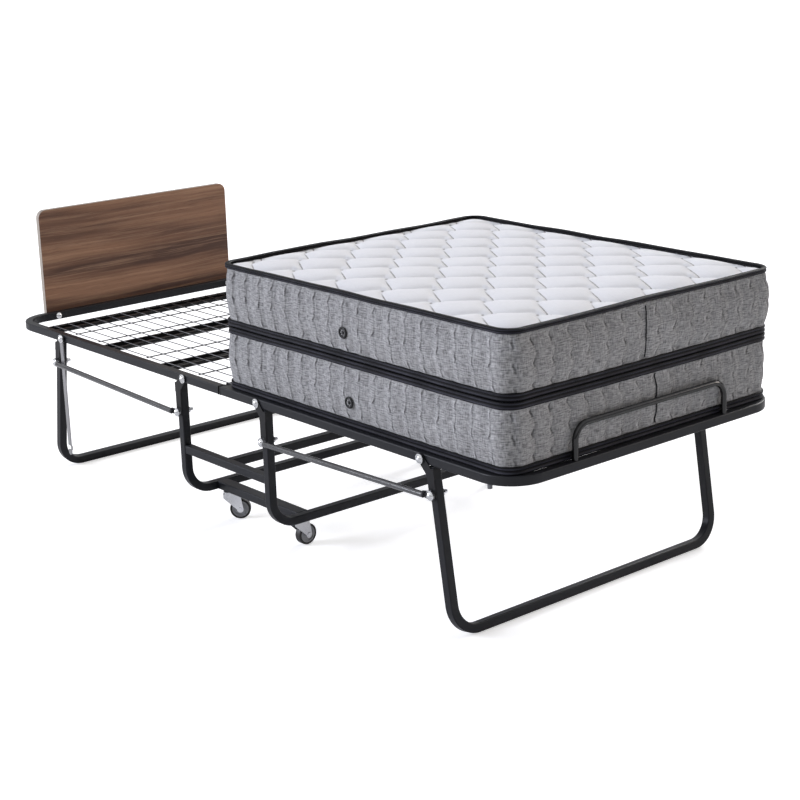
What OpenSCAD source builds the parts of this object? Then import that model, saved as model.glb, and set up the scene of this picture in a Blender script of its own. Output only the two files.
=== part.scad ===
// Folding roll-away cot: a steel bed frame in two halves that fold up about a low carriage on casters,
// with a wooden headboard, a wire deck, a foot hoop and a mattress in two stacked halves.
// +X points to the foot end, the right side is at -Y, and the floor is z = 0.

/* [Bed frame] */
// Length of the steel frame from the head end tube to the foot end tube
frame_length = 1900; // [1700:10:2100]
// Width of the frame over its side rails
frame_width = 800; // [700:10:1000]
// Height of the top of the side rails above the floor
deck_height = 376; // [340:2:440]
// Side of the square frame tube
tube = 20; // [18:1:25]
// Wall of the square tube
tube_wall = 1.5; // [1.2:0.1:2]
// Rounding of the square tube's edges
tube_edge = 2.5; // [1.8:0.1:3]
// Outer radius of the frame corners in plan
corner_radius = 82; // [60:2:120]
// Gap between the inner ends of the two halves
middle_gap = 6; // [4:1:12]
// Thickness of the flange of the plugs in the rail ends
plug_flange = 2; // [1:0.5:4]

/* [Deck] */
// Distance from the middle of the bed to each channel across the deck
band_places = [261, 522, 797];
// Width of the channels
band_width = 50; // [40:2:60]
// Depth of the channels
band_depth = 10; // [6:1:12]
// Width of the flat bar at the inner end of each half
end_bar_width = 25; // [16:1:30]
// Diameter of the long wires
long_wire = 2.5; // [2:0.1:3]
// Number of long wires
long_wire_count = 19; // [15:1:27]
// Clear strip between the outer long wires and the rails
wire_margin = 20; // [12:1:30]
// Diameter of the cross wires
cross_wire = 3; // [2.5:0.1:3.2]
// Distance between cross wires
cross_wire_pitch = 112; // [100:1:125]
// Distance from the middle of the bed to the first cross wire
first_cross_wire = 28; // [20:1:34]

/* [Legs] */
// Distance from the middle of the bed to each carriage pivot
pivot_reach = 145; // [140:1:200]
// Distance from the middle of the bed to each end leg pivot
end_pivot_reach = 697; // [640:1:740]
// Offset of the leg tubes outboard of their pivots
leg_offset = 22; // [22:0.5:26]
// Splay of the end legs
splay = 8.9; // [4:0.1:12]
// Outer bend radius of the legs
leg_bend = 70; // [50:1:90]
// Height of the underside of the carriage's bottom tubes
carriage_clearance = 71.4; // [66:0.2:90]
// Height of the underside of the carriage's upper rails
upper_rail_height = 180; // [150:2:200]
// Width of the rails that carry the casters
caster_rail_width = 30; // [25:1:40]
// Distance from the middle plane to each caster rail
caster_rail_y = 298; // [240:1:320]

/* [Brackets, bolts and links] */
// Thickness of the leg brackets' outer plates
plate = 2.5; // [2:0.1:3]
// Running gap between plates of parts that turn on each other
running_gap = 0.3; // [0.2:0.05:0.4]
// Radius of the pivot and link bolts
bolt_radius = 4; // [3:0.5:4.5]
// Radial clearance of a bolt in its hole
bolt_clearance = 0.08; // [0.05:0.01:0.1]
// Radius of the domed bolt heads
bolt_head = 8.5; // [7:0.5:9]
// Diameter of the link rods
link_rod = 12.7; // [10:0.1:14]
// Extra radius of the hole at the free end of each link
link_play = 3.2; // [3.2:0.1:3.6]
// Width of the latch hook's bar
latch_width = 14; // [10:1:16]

/* [Casters] */
// Distance from the middle of the bed to each caster's swivel axis
caster_x = 133.5; // [110:0.5:140]
// Wheel radius
wheel_radius = 25; // [20:1:25]
// Wheel width
wheel_width = 20; // [14:1:22]
// Offset of the wheel axle from the swivel axis
trail = 25; // [18:1:28]
// Thickness of the tyre
tyre_depth = 5; // [3:0.5:7]
// Radius of the swivel stem
stem_radius = 5; // [4:0.5:6]
// Way each caster trails: right head, right foot, left head, left foot
caster_turns = [50, 92, 70, 110];

/* [Headboard and hoop] */
// Width of the headboard
board_width = 600; // [500:10:680]
// Thickness of the headboard
board_thickness = 15; // [12:1:22]
// Height of the top of the headboard
board_top = 650; // [560:5:760]
// Height of the lower edge of the headboard
board_bottom = 350; // [346:1:352]
// Radius of the headboard's upper corners
board_corner = 22; // [10:1:60]
// Thickness of the spacers behind the headboard
board_spacer = 4; // [4:0.5:8]
// Distance from the middle plane to each headboard bolt
board_bolt_y = 276; // [200:1:280]
// Diameter of the foot hoop's tube
hoop_tube = 12.7; // [10:0.1:13]
// Distance from the middle plane to each hoop post
hoop_post_y = 220; // [160:5:280]
// Height of the hoop above the rails
hoop_height = 77; // [60:1:110]
// Outer bend radius of the hoop
hoop_bend = 40; // [25:1:50]

/* [Mattress] */
// Thickness of the lower mattress half
lower_thickness = 142.8; // [110:0.2:144]
// Thickness of the upper mattress half
upper_thickness = 140.2; // [110:0.2:142]
// Width of the mattress
mattress_width = 776; // [660:2:780]
// Plan radius of the mattress corners
mattress_corner = 50; // [20:1:80]
// Gap between the mattress and what it lies on
soft_gap = 0.4; // [0.3:0.1:1]
// Radius of the air vents
vent_radius = 13; // [8:0.5:18]

/* [Hidden] */

round_fn = 64;
steel = "#2b2b30";
zinc = "#b9bcc2";
// How far a cutting shape reaches past what it cuts
overcut = 1;

// The origin is the middle of the bounding box on the floor, and the headboard makes the head end longer.
origin_shift = (board_spacer + board_thickness) / 2;

rail_z = deck_height - tube / 2;
rail_y = (frame_width - tube) / 2;
rail_inner_y = frame_width / 2 - tube;
rail_outer_y = frame_width / 2;
end_x = (frame_length - tube) / 2;
inner_x = middle_gap / 2 + plug_flange;
bend_r = corner_radius - tube / 2;
leg_bend_r = leg_bend - tube / 2;
tube_bore = tube - 2 * tube_wall;

plate_in = rail_outer_y + running_gap;
plate_out = plate_in + plate;
latch_thick = 2.5;
standoff = latch_thick + 2 * running_gap;
link_plate = 3;
link_in = plate_out + standoff + running_gap;
link_out = link_in + link_plate;
bolt_hole = bolt_radius + bolt_clearance;
barrel_radius = bolt_radius + 1;
washer_radius = bolt_head + 2;
washer_thick = 1.5;
head_height = 5;
nut_radius = bolt_head - 1.5;
nut_height = 6;
bolt_tail = 3;
link_bolt_tail = 8;

// Drops of the link bolts below their pivots: the two legs fold flat only with these two together
carriage_link_drop = 84;
end_link_drop = 68;

carriage_leg_x = pivot_reach + leg_offset;
leg_top_gap = 1;
carriage_leg_top = deck_height - tube - leg_top_gap;
rail_inset = 1.5;
bottom_bar_z = carriage_clearance + tube / 2;
upper_rail_z = upper_rail_height + tube / 2;
upper_rail_y = rail_y - rail_inset;
between_legs = 2 * carriage_leg_x - tube;

// The end leg is built in its own frame: origin at its pivot, leg straight down, then tilted by the splay.
end_leg_top = 16.5;
foot_half_size = (tube / 2 - tube_edge) * (cos(splay) + sin(splay)) + tube_edge;
end_leg_drop = (rail_z + leg_offset * sin(splay) - foot_half_size) / cos(splay);
end_link_out = leg_offset / cos(splay) + end_link_drop * tan(splay);
end_link_local_z = -end_link_drop / cos(splay) - leg_offset * tan(splay);

link_dx = end_pivot_reach + end_link_out - carriage_leg_x;
link_dz = carriage_link_drop - end_link_drop;
link_length = norm([link_dx, link_dz]);
link_angle = atan2(link_dz, link_dx);
link_eye = 9;
link_far_eye = 11;
link_flat = 24;
link_overlap = 8;
rod_inset = 0.15;

sleeve_wall = 1.2;
sleeve_gap = 0.1;
sleeve_depth = 16;
sleeve_height = 22;
sleeve_drop = 3;
sleeve_half = tube / 2 + sleeve_gap + sleeve_wall;
ear_radius = 11;
// Half-width of a strip against the radius of the round end it runs into
strip_share = 0.9;

band_lip = 7;
band_drop = 6;
band_sheet = 1.5;
band_top = deck_height - band_drop;
band_flat = band_width - 2 * band_lip;
contact = 0.1;
long_wire_z = band_top + contact + long_wire / 2;
cross_wire_z = long_wire_z - (long_wire + cross_wire) / 2 - contact;
cross_wire_count = 8;
cross_wire_end = 2;
end_bar_depth = 6;
end_bar_top = cross_wire_z - cross_wire / 2 - running_gap;
long_wire_y = rail_inner_y - wire_margin - long_wire / 2 - cross_wire_end / 2;
long_wire_start = middle_gap / 2 + 5;
long_wire_end = first_cross_wire + (cross_wire_count - 1) * cross_wire_pitch + 2 * cross_wire_end;

board_face_x = -frame_length / 2 - board_spacer;
board_bolt_depth = 10;
hoop_x = end_x + 1;
hoop_r = hoop_bend - hoop_tube / 2;
hoop_wall = 1.2;

mattress_start = middle_gap / 2 + 1;
mattress_end = hoop_x - hoop_tube / 2 - soft_gap;
mattress_length = mattress_end - mattress_start;
lower_z = deck_height + soft_gap;
stack_gap = 0.6;
upper_z = lower_z + lower_thickness + stack_gap;
vent_thick = 1.5;
vent_x = 454;
vent_drop = 82.6;
lower_vent_shift = 11;
lower_vent_drop = 88.2;

latch_reach = 2 * pivot_reach;
latch_head = 10;
latch_notch = barrel_radius + 0.6;
latch_tip = 13;
bumper_x = 882;
bumper_radius = 5;
bumper_height = 10;

stem_top = 16;
collar_radius = 11;
collar_height = 3;
ring_radius = 14;
ring_height = 6;
fork_plate = 2;
fork_gap = 1;
fork_inner = wheel_width / 2 + fork_gap;
fork_top = carriage_clearance - collar_height - running_gap;
bridge_z = fork_top - ring_height;
bridge_thick = 2.5;
axle_radius = 3;
axle_clearance = 0.06;
fork_eye = 8;
hub_radius = 7;
stem_washer = 3;
stem_length = carriage_clearance + stem_top - bridge_z + stem_washer;
axle_nut_radius = 5.5;
axle_nut_height = 3;
rim_recess = 2;
rim_wall = 3;
tyre_edge = 2.5;
tyre_play = 0.02;

// ---------- shared shapes ----------

// A rounded rectangle with true arcs, centred.
module rounded_box_outline(w, h, r) {
    square([w - 2 * r, h], center = true);
    square([w, h - 2 * r], center = true);
    for (x = [-1, 1], y = [-1, 1]) {
        translate([x * (w / 2 - r), y * (h / 2 - r)]) circle(r = r, $fn = round_fn);
    }
}

// Section of a rectangular tube, centred.
module tube_section(w, h) {
    difference() {
        rounded_box_outline(w, h, tube_edge);
        square([w - 2 * tube_wall, h - 2 * tube_wall], center = true);
    }
}

// Section of a round tube.
module ring_section(d, wall) {
    difference() {
        circle(d = d, $fn = round_fn);
        circle(d = d - 2 * wall, $fn = round_fn);
    }
}

// A bent U: two arms along +X, centred lines `width` apart, closed at x = length by a bar along Y.
// Its children are the section of the tube.
module bent_u(length, width, bend) {
    for (s = [-1, 1]) {
        translate([0, s * width / 2, 0]) rotate([90, 0, 90]) linear_extrude(length - bend) children();
        translate([length - bend, s * (width / 2 - bend), 0]) rotate([0, 0, s > 0 ? 0 : -90])
            rotate_extrude(angle = 90, $fn = round_fn) translate([bend, 0]) children();
    }
    translate([length, bend - width / 2, 0]) rotate([-90, 0, 0])
        linear_extrude(width - 2 * bend) children();
}

// A flat strip from the origin, w1 to each side, to [dx, dy], w2 to each side.
module strip(w1, w2, dx, dy) {
    across = [-dy, dx] / norm([dx, dy]);
    polygon([w1 * across, [dx, dy] + w2 * across, [dx, dy] - w2 * across, -w1 * across]);
}

// Puts children drawn in the XZ plane (as x, y) at distance y from the middle plane, growing outward.
module on_side(s, y, thickness) {
    translate([0, s > 0 ? y + thickness : -y, 0]) rotate([90, 0, 0]) linear_extrude(thickness) children();
}

// A round bar along Y at [x, z] from y1 to y2 on side s.
module side_bar(s, x, z, y1, y2, r, fn = round_fn) {
    translate([x, s > 0 ? y2 : -y1, z]) rotate([90, 0, 0]) cylinder(r = r, h = y2 - y1, $fn = fn);
}

// A bolt across one side of the bed, with its nut, outer barrel, washer and domed head.
module side_bolt(s, x, z, nut_y, tail, barrel_y, barrel_r, head_y) {
    side_bar(s, x, z, nut_y - nut_height - tail, head_y + washer_thick, bolt_radius);
    side_bar(s, x, z, nut_y - nut_height, nut_y, nut_radius, 6);
    if (head_y > barrel_y) side_bar(s, x, z, barrel_y, head_y, barrel_r);
    side_bar(s, x, z, head_y, head_y + washer_thick, washer_radius);
    translate([x, s * (head_y + washer_thick), z]) rotate([s > 0 ? -90 : 90, 0, 0]) dome();
}

// A domed bolt head, flat side down.
module dome() {
    sphere_r = (bolt_head * bolt_head + head_height * head_height) / (2 * head_height);
    intersection() {
        translate([0, 0, head_height - sphere_r]) sphere(r = sphere_r, $fn = round_fn);
        cylinder(r = bolt_head, h = head_height, $fn = round_fn);
    }
}

// Mirrors what is drawn for the foot end to the head end.
module head_side() {
    mirror([1, 0, 0]) children();
}

// Moves children from the end leg's own frame to its place on the foot half.
module end_leg_place() {
    translate([end_pivot_reach, 0, rail_z]) rotate([0, -splay, 0]) children();
}

// ---------- the two halves of the deck ----------

module frame_half() {
    difference() {
        translate([inner_x, 0, rail_z]) bent_u(end_x - inner_x, 2 * rail_y, bend_r)
            tube_section(tube, tube);
        for (s = [-1, 1], x = [pivot_reach, end_pivot_reach]) {
            side_bar(s, x, rail_z, rail_inner_y - overcut, rail_outer_y + overcut, bolt_hole);
        }
    }
}

module frame_plugs() {
    for (s = [-1, 1]) {
        translate([middle_gap / 2, s * rail_y, rail_z]) rotate([90, 0, 90])
            linear_extrude(plug_flange) rounded_box_outline(tube + 1, tube + 1, tube_edge);
        translate([inner_x, s * rail_y, rail_z]) rotate([90, 0, 90])
            linear_extrude(tube) square(tube_bore - 0.4, center = true);
    }
}

// A shallow channel across the deck, open side up.
module deck_band() {
    rotate([90, 0, 0]) linear_extrude(2 * rail_inner_y, center = true) {
        for (s = [-1, 1]) {
            translate([s * (band_width - band_lip) / 2, -band_sheet / 2])
                square([band_lip, band_sheet], center = true);
            translate([s * (band_flat + band_sheet) / 2, -band_depth / 2])
                square([band_sheet, band_depth], center = true);
        }
        translate([0, band_sheet / 2 - band_depth])
            square([band_flat + 2 * band_sheet, band_sheet], center = true);
    }
}

module deck_bands() {
    for (x = band_places) translate([x, 0, band_top]) deck_band();
    translate([inner_x + end_bar_width / 2, 0, end_bar_top - end_bar_depth / 2])
        cube([end_bar_width, 2 * rail_inner_y, end_bar_depth], center = true);
}

module long_wires() {
    step = 2 * long_wire_y / (long_wire_count - 1);
    for (i = [0 : long_wire_count - 1]) {
        translate([long_wire_start, i * step - long_wire_y, long_wire_z]) rotate([0, 90, 0])
            cylinder(d = long_wire, h = long_wire_end - long_wire_start, $fn = round_fn);
    }
}

module cross_wires() {
    for (i = [0 : cross_wire_count - 1]) {
        translate([first_cross_wire + i * cross_wire_pitch, 0, cross_wire_z]) rotate([90, 0, 0])
            cylinder(d = cross_wire, h = 2 * (long_wire_y + cross_wire_end), center = true, $fn = round_fn);
    }
}

module head_frame() {
    color(steel) head_side() difference() {
        frame_half();
        for (s = [-1, 1]) {
            translate([end_x - tube, s * board_bolt_y, rail_z]) rotate([0, 90, 0])
                cylinder(r = bolt_hole, h = 2 * tube, $fn = round_fn);
        }
    }
}

module head_frame_plugs() {
    color("black") head_side() frame_plugs();
}

module head_bands() {
    color(steel) head_side() deck_bands();
}

module head_wires_long() {
    color(zinc) head_side() long_wires();
}

module head_wires_cross() {
    color("black") head_side() cross_wires();
}

module foot_frame() {
    color(steel) frame_half();
}

module foot_frame_plugs() {
    color("black") frame_plugs();
}

module foot_bands() {
    color(steel) deck_bands();
}

module foot_wires_long() {
    color(zinc) long_wires();
}

module foot_wires_cross() {
    color("black") cross_wires();
}

// ---------- headboard, hoop and bumper ----------

module headboard() {
    height = board_top - board_bottom;
    color("saddlebrown") difference() {
        translate([board_face_x - board_thickness, 0, board_bottom]) rotate([90, 0, 90])
            linear_extrude(board_thickness) {
                translate([-board_width / 2, 0]) square([board_width, height - board_corner]);
                translate([board_corner - board_width / 2, 0])
                    square([board_width - 2 * board_corner, height]);
                for (s = [-1, 1]) {
                    translate([s * (board_width / 2 - board_corner), height - board_corner])
                        circle(r = board_corner, $fn = round_fn);
                }
            }
        for (s = [-1, 1]) {
            translate([board_face_x - board_bolt_depth, s * board_bolt_y, rail_z]) rotate([0, 90, 0])
                cylinder(r = bolt_hole, h = 2 * board_bolt_depth, $fn = round_fn);
        }
    }
}

module headboard_spacers() {
    color("black") for (s = [-1, 1]) {
        translate([board_face_x, s * board_bolt_y, rail_z]) rotate([0, 90, 0]) difference() {
            cylinder(r = bolt_head, h = board_spacer, $fn = round_fn);
            translate([0, 0, -overcut]) cylinder(r = bolt_hole, h = board_spacer + 2 * overcut, $fn = round_fn);
        }
    }
}

module headboard_bolts() {
    shaft = tube + board_spacer + board_bolt_depth - 0.5;
    color(zinc) for (s = [-1, 1]) {
        translate([tube - frame_length / 2, s * board_bolt_y, rail_z]) rotate([0, 90, 0]) {
            translate([0, 0, -shaft]) cylinder(r = bolt_radius, h = shaft + 1, $fn = round_fn);
            dome();
        }
    }
}

module foot_hoop() {
    color(steel) translate([hoop_x, 0, deck_height]) rotate([0, -90, 0])
        bent_u(hoop_height - hoop_tube / 2, 2 * hoop_post_y, hoop_r) ring_section(hoop_tube, hoop_wall);
}

module rail_bumper() {
    color("gray") translate([bumper_x, -rail_y, deck_height - tube - bumper_height])
        cylinder(r = bumper_radius, h = bumper_height, $fn = round_fn);
}

// ---------- carriage ----------

module carriage_leg() {
    difference() {
        translate([carriage_leg_x, 0, carriage_leg_top]) rotate([0, 90, 0])
            bent_u(carriage_leg_top - bottom_bar_z, 2 * rail_y, leg_bend_r) tube_section(tube, tube);
        for (s = [-1, 1]) {
            side_bar(s, carriage_leg_x, rail_z - carriage_link_drop,
                     rail_inner_y - overcut, rail_outer_y + overcut, bolt_hole);
        }
    }
}

// The two side flanges of a bracket, which wrap the leg below `top`, for a leg centred at x.
module sleeve_flanges(s, x, top) {
    for (t = [-1, 1]) {
        wall_x = x + t * (tube / 2 + sleeve_gap + sleeve_wall / 2);
        translate([wall_x, s * (plate_in - sleeve_depth / 2 + plate / 2), top - sleeve_height / 2])
            cube([sleeve_wall, sleeve_depth + plate, sleeve_height], center = true);
    }
}

// A bracket's outer plate with its pivot at the origin: an ear, the sleeve's back and the link bolt's ear.
module bracket_outline(sleeve_z, link_z) {
    circle(r = ear_radius, $fn = round_fn);
    strip(strip_share * ear_radius, strip_share * sleeve_half, leg_offset, sleeve_z);
    translate([leg_offset, sleeve_z]) {
        square([2 * sleeve_half, sleeve_height], center = true);
        strip(strip_share * sleeve_half, strip_share * ear_radius, 0, link_z - sleeve_z);
    }
    translate([leg_offset, link_z]) circle(r = ear_radius, $fn = round_fn);
}

// Both brackets of a leg, with the pivot at the origin: the sleeve wraps the leg below `top`.
module bracket_pair(top, link_z) {
    for (s = [-1, 1]) difference() {
        union() {
            on_side(s, plate_in, plate) bracket_outline(top - sleeve_height / 2, link_z);
            sleeve_flanges(s, leg_offset, top);
        }
        side_bar(s, 0, 0, plate_in - overcut, plate_out + overcut, bolt_hole);
        side_bar(s, leg_offset, link_z, plate_in - overcut, plate_out + overcut, bolt_hole);
    }
}

module carriage_brackets() {
    translate([pivot_reach, 0, rail_z])
        bracket_pair(carriage_leg_top - sleeve_drop - rail_z, -carriage_link_drop);
}

module carriage_leg_head() {
    color(steel) head_side() carriage_leg();
}

module carriage_leg_foot() {
    color(steel) carriage_leg();
}

module carriage_brackets_head() {
    color(steel) head_side() carriage_brackets();
}

module carriage_brackets_foot() {
    color(steel) carriage_brackets();
}

module carriage_bolts_head() {
    color(zinc) head_side() fastened_carriage_bolts();
}

module carriage_bolts_foot() {
    color(zinc) fastened_carriage_bolts();
}

// A straight tube along X between the two carriage legs.
module rail_between_legs(y, z, w) {
    translate([-between_legs / 2, y, z]) rotate([90, 0, 90])
        linear_extrude(between_legs) tube_section(w, tube);
}

module carriage_side_rail_right() {
    color(steel) rail_between_legs(-upper_rail_y, upper_rail_z, tube);
}

module carriage_side_rail_left() {
    color(steel) rail_between_legs(upper_rail_y, upper_rail_z, tube);
}

module carriage_cross_brace() {
    length = 2 * upper_rail_y - tube;
    color(steel) translate([0, -length / 2, upper_rail_z]) rotate([-90, 0, 0])
        linear_extrude(length) tube_section(tube, tube);
}

module caster_rail(y) {
    difference() {
        rail_between_legs(y, bottom_bar_z, caster_rail_width);
        for (s = [-1, 1]) {
            translate([s * caster_x, y, carriage_clearance - overcut])
                cylinder(r = stem_radius + bolt_clearance, h = tube_wall + 2 * overcut, $fn = round_fn);
        }
    }
}

module caster_rail_right() {
    color(steel) caster_rail(-caster_rail_y);
}

module caster_rail_left() {
    color(steel) caster_rail(caster_rail_y);
}

// ---------- end legs ----------

module end_leg() {
    end_leg_place() difference() {
        translate([leg_offset, 0, -end_leg_top]) rotate([0, 90, 0])
            bent_u(end_leg_drop - end_leg_top, 2 * rail_y, leg_bend_r) tube_section(tube, tube);
        end_link_hole(rail_inner_y - overcut, rail_outer_y + overcut);
    }
}

// Holes for the link bolts, drawn in the end leg's own frame.
module end_link_hole(y1, y2) {
    for (s = [-1, 1]) {
        side_bar(s, leg_offset, end_link_local_z, y1, y2, bolt_hole);
    }
}

module end_brackets() {
    end_leg_place() bracket_pair(-end_leg_top - sleeve_drop, end_link_local_z);
}

module end_bolts() {
    end_leg_place() for (s = [-1, 1]) {
        side_bolt(s, 0, 0, rail_inner_y - running_gap, bolt_tail,
                  plate_out, barrel_radius, plate_out + standoff);
        link_bolt(s, leg_offset, end_link_local_z);
    }
}

// A bolt that holds a link outside its leg: a spacer, the link's thickness free, then washer and head.
module link_bolt(s, x, z) {
    head_y = link_out + running_gap;
    side_bolt(s, x, z, rail_inner_y, link_bolt_tail, plate_out, bolt_radius, head_y);
    side_bar(s, x, z, plate_out, link_in - running_gap, bolt_head - 0.5);
}

module fastened_carriage_bolts() {
    for (s = [-1, 1]) {
        side_bolt(s, pivot_reach, rail_z, rail_inner_y - running_gap, bolt_tail,
                  plate_out, barrel_radius, plate_out);
        link_bolt(s, carriage_leg_x, rail_z - carriage_link_drop);
    }
}

module head_leg() {
    color(steel) head_side() end_leg();
}

module foot_leg() {
    color(steel) end_leg();
}

module head_leg_brackets() {
    color(steel) head_side() end_brackets();
}

module foot_leg_brackets() {
    color(steel) end_brackets();
}

module head_leg_bolts() {
    color(zinc) head_side() end_bolts();
}

module foot_leg_bolts() {
    color(zinc) end_bolts();
}

// ---------- links and latch ----------

// The flat end of a link, its eye at the origin and its strip reaching along dx.
module link_end(eye, dx) {
    circle(r = eye, $fn = round_fn);
    strip(strip_share * eye, strip_share * link_rod / 2, dx, 0);
}

// One link rod: a flat eye at each end, the far end's hole wide enough for its play.
module link(s) {
    rod_start = link_flat - link_overlap;
    translate([carriage_leg_x, 0, rail_z - carriage_link_drop]) rotate([0, -link_angle, 0]) difference() {
        union() {
            on_side(s, link_in, link_plate) link_end(link_eye, link_flat);
            translate([link_length, 0, 0]) on_side(s, link_in, link_plate) link_end(link_far_eye, -link_flat);
            translate([rod_start, s * (link_in + link_rod / 2 + rod_inset), 0]) rotate([0, 90, 0])
                cylinder(d = link_rod, h = link_length - 2 * rod_start, $fn = round_fn);
        }
        side_bar(s, 0, 0, link_in - overcut, link_out + overcut, bolt_hole);
        side_bar(s, link_length, 0, link_in - overcut, link_out + overcut, bolt_radius + link_play);
    }
}

module head_link_right() {
    color(steel) head_side() link(-1);
}

module head_link_left() {
    color(steel) head_side() link(1);
}

module foot_link_right() {
    color(steel) link(-1);
}

module foot_link_left() {
    color(steel) link(1);
}

// A flat hook that hangs from the right head leg pivot, and reaches the foot leg pivot when the bed is folded.
module latch_hook() {
    color(zinc) translate([-end_pivot_reach, 0, rail_z]) difference() {
        on_side(-1, plate_out + running_gap, latch_thick) difference() {
            union() {
                circle(r = latch_width / 2 + 2, $fn = round_fn);
                translate([-latch_width / 2, -latch_reach - latch_tip])
                    square([latch_width, latch_reach + latch_tip]);
                translate([0, -latch_reach - latch_tip]) circle(r = latch_width / 2, $fn = round_fn);
                translate([1, -latch_reach]) circle(r = latch_head, $fn = round_fn);
            }
            translate([0, -latch_reach]) circle(r = latch_notch, $fn = round_fn);
            translate([-2 * latch_head, -latch_reach - latch_notch])
                square([2 * latch_head, 2 * latch_notch]);
        }
        side_bar(-1, 0, 0, plate_out - overcut, plate_out + standoff + overcut, barrel_radius + bolt_clearance);
    }
}

// ---------- casters ----------

// The caster's place: its swivel axis, turned to the way it trails.
module caster_place(k) {
    x = k % 2 == 0 ? -caster_x : caster_x;
    y = k < 2 ? -caster_rail_y : caster_rail_y;
    translate([x, y, 0]) rotate([0, 0, caster_turns[k]]) children();
}

// Fixed collar and stem of each caster, held in its rail.
module caster_mounts() {
    color("black") for (k = [0 : 3]) caster_place(k) {
        translate([0, 0, fork_top + running_gap])
            cylinder(r = collar_radius, h = collar_height, $fn = round_fn);
        translate([0, 0, bridge_z - stem_washer])
            cylinder(r = stem_radius, h = stem_length, $fn = round_fn);
        translate([0, 0, bridge_z - stem_washer])
            cylinder(r = stem_radius + stem_washer, h = stem_washer - running_gap, $fn = round_fn);
    }
}

module caster_fork(k) {
    color(zinc) caster_place(k) difference() {
        union() {
            translate([0, 0, bridge_z + bridge_thick])
                cylinder(r = ring_radius, h = ring_height - bridge_thick, $fn = round_fn);
            translate([-ring_radius, -fork_inner - fork_plate, bridge_z])
                cube([2 * ring_radius + trail / 2, 2 * (fork_inner + fork_plate), bridge_thick]);
            for (s = [-1, 1]) on_side(s, fork_inner, fork_plate) fork_cheek();
        }
        translate([0, 0, bridge_z - overcut])
            cylinder(r = stem_radius + bolt_clearance, h = ring_height + 2 * overcut, $fn = round_fn);
        for (s = [-1, 1]) {
            side_bar(s, trail, wheel_radius, fork_inner - overcut, fork_inner + fork_plate + overcut,
                     axle_radius + axle_clearance);
        }
    }
}

// One cheek of the fork, in side view: from the bridge down to the axle.
module fork_cheek() {
    top_z = bridge_z + bridge_thick / 2;
    polygon([
        [-ring_radius, bridge_z + bridge_thick],
        [-ring_radius, bridge_z - 8],
        [trail - fork_eye, wheel_radius],
        [trail + fork_eye, wheel_radius],
        [ring_radius + trail / 2, top_z],
        [ring_radius + trail / 2, bridge_z + bridge_thick]
    ]);
    translate([trail, wheel_radius]) circle(r = fork_eye, $fn = round_fn);
}

module caster_axle(k) {
    outer = fork_inner + fork_plate;
    color(zinc) caster_place(k) {
        side_bar(1, trail, wheel_radius, -outer, outer, axle_radius);
        for (s = [-1, 1]) {
            side_bar(s, trail, wheel_radius, outer, outer + axle_nut_height, axle_nut_radius, 6);
        }
    }
}

module caster_wheel(k) {
    rim = wheel_radius - tyre_depth;
    color("gray") caster_place(k) difference() {
        union() {
            side_bar(1, trail, wheel_radius, rim_recess - wheel_width / 2, wheel_width / 2 - rim_recess, rim);
            side_bar(1, trail, wheel_radius, -wheel_width / 2, wheel_width / 2, hub_radius);
        }
        for (s = [-1, 1]) {
            translate([trail, s * (wheel_width / 2 - rim_recess), wheel_radius]) rotate([90, 0, 0])
                rim_groove(rim);
        }
        side_bar(1, trail, wheel_radius, -wheel_width, wheel_width, axle_radius + axle_clearance);
    }
}

// A ring-shaped recess between hub and rim.
module rim_groove(rim) {
    rotate_extrude($fn = round_fn) translate([hub_radius, -rim_wall])
        square([rim - hub_radius - rim_wall, 2 * rim_wall]);
}

module caster_tyre(k) {
    rim = wheel_radius - tyre_depth;
    color("black") caster_place(k) translate([trail, 0, wheel_radius]) rotate([90, 0, 0])
        rotate_extrude($fn = round_fn) tyre_section(rim);
}

// Half section of the tyre: a flat inside and a rounded tread.
module tyre_section(rim) {
    inside = rim + tyre_play;
    half = wheel_width / 2 - 1;
    translate([inside, -half]) square([wheel_radius - tyre_edge - inside, 2 * half]);
    translate([inside, tyre_edge - half]) square([wheel_radius - inside, 2 * (half - tyre_edge)]);
    for (s = [-1, 1]) {
        translate([wheel_radius - tyre_edge, s * (half - tyre_edge)]) circle(r = tyre_edge, $fn = round_fn);
    }
}

// ---------- mattress ----------

module mattress_block(z, thickness) {
    translate([(mattress_start + mattress_end) / 2, 0, z]) linear_extrude(thickness)
        rounded_box_outline(mattress_length, mattress_width, mattress_corner);
}

module vents(x, z) {
    for (s = [-1, 1]) side_bar(s, x, z, mattress_width / 2, mattress_width / 2 + vent_thick, vent_radius);
}

module mattress_lower() {
    color("lightgray") mattress_block(lower_z, lower_thickness);
}

module mattress_lower_vents() {
    color("black") vents(vent_x + lower_vent_shift, lower_z + lower_thickness - lower_vent_drop);
}

module mattress_upper() {
    color("whitesmoke") mattress_block(upper_z, upper_thickness);
}

module mattress_upper_vents() {
    color("black") vents(vent_x, upper_z + upper_thickness - vent_drop);
}

// ---------- drawing ----------

// Moves a sub-part from the bed's own middle to the part's frame.
module placed() {
    translate([origin_shift, 0, 0]) children();
}

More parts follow.
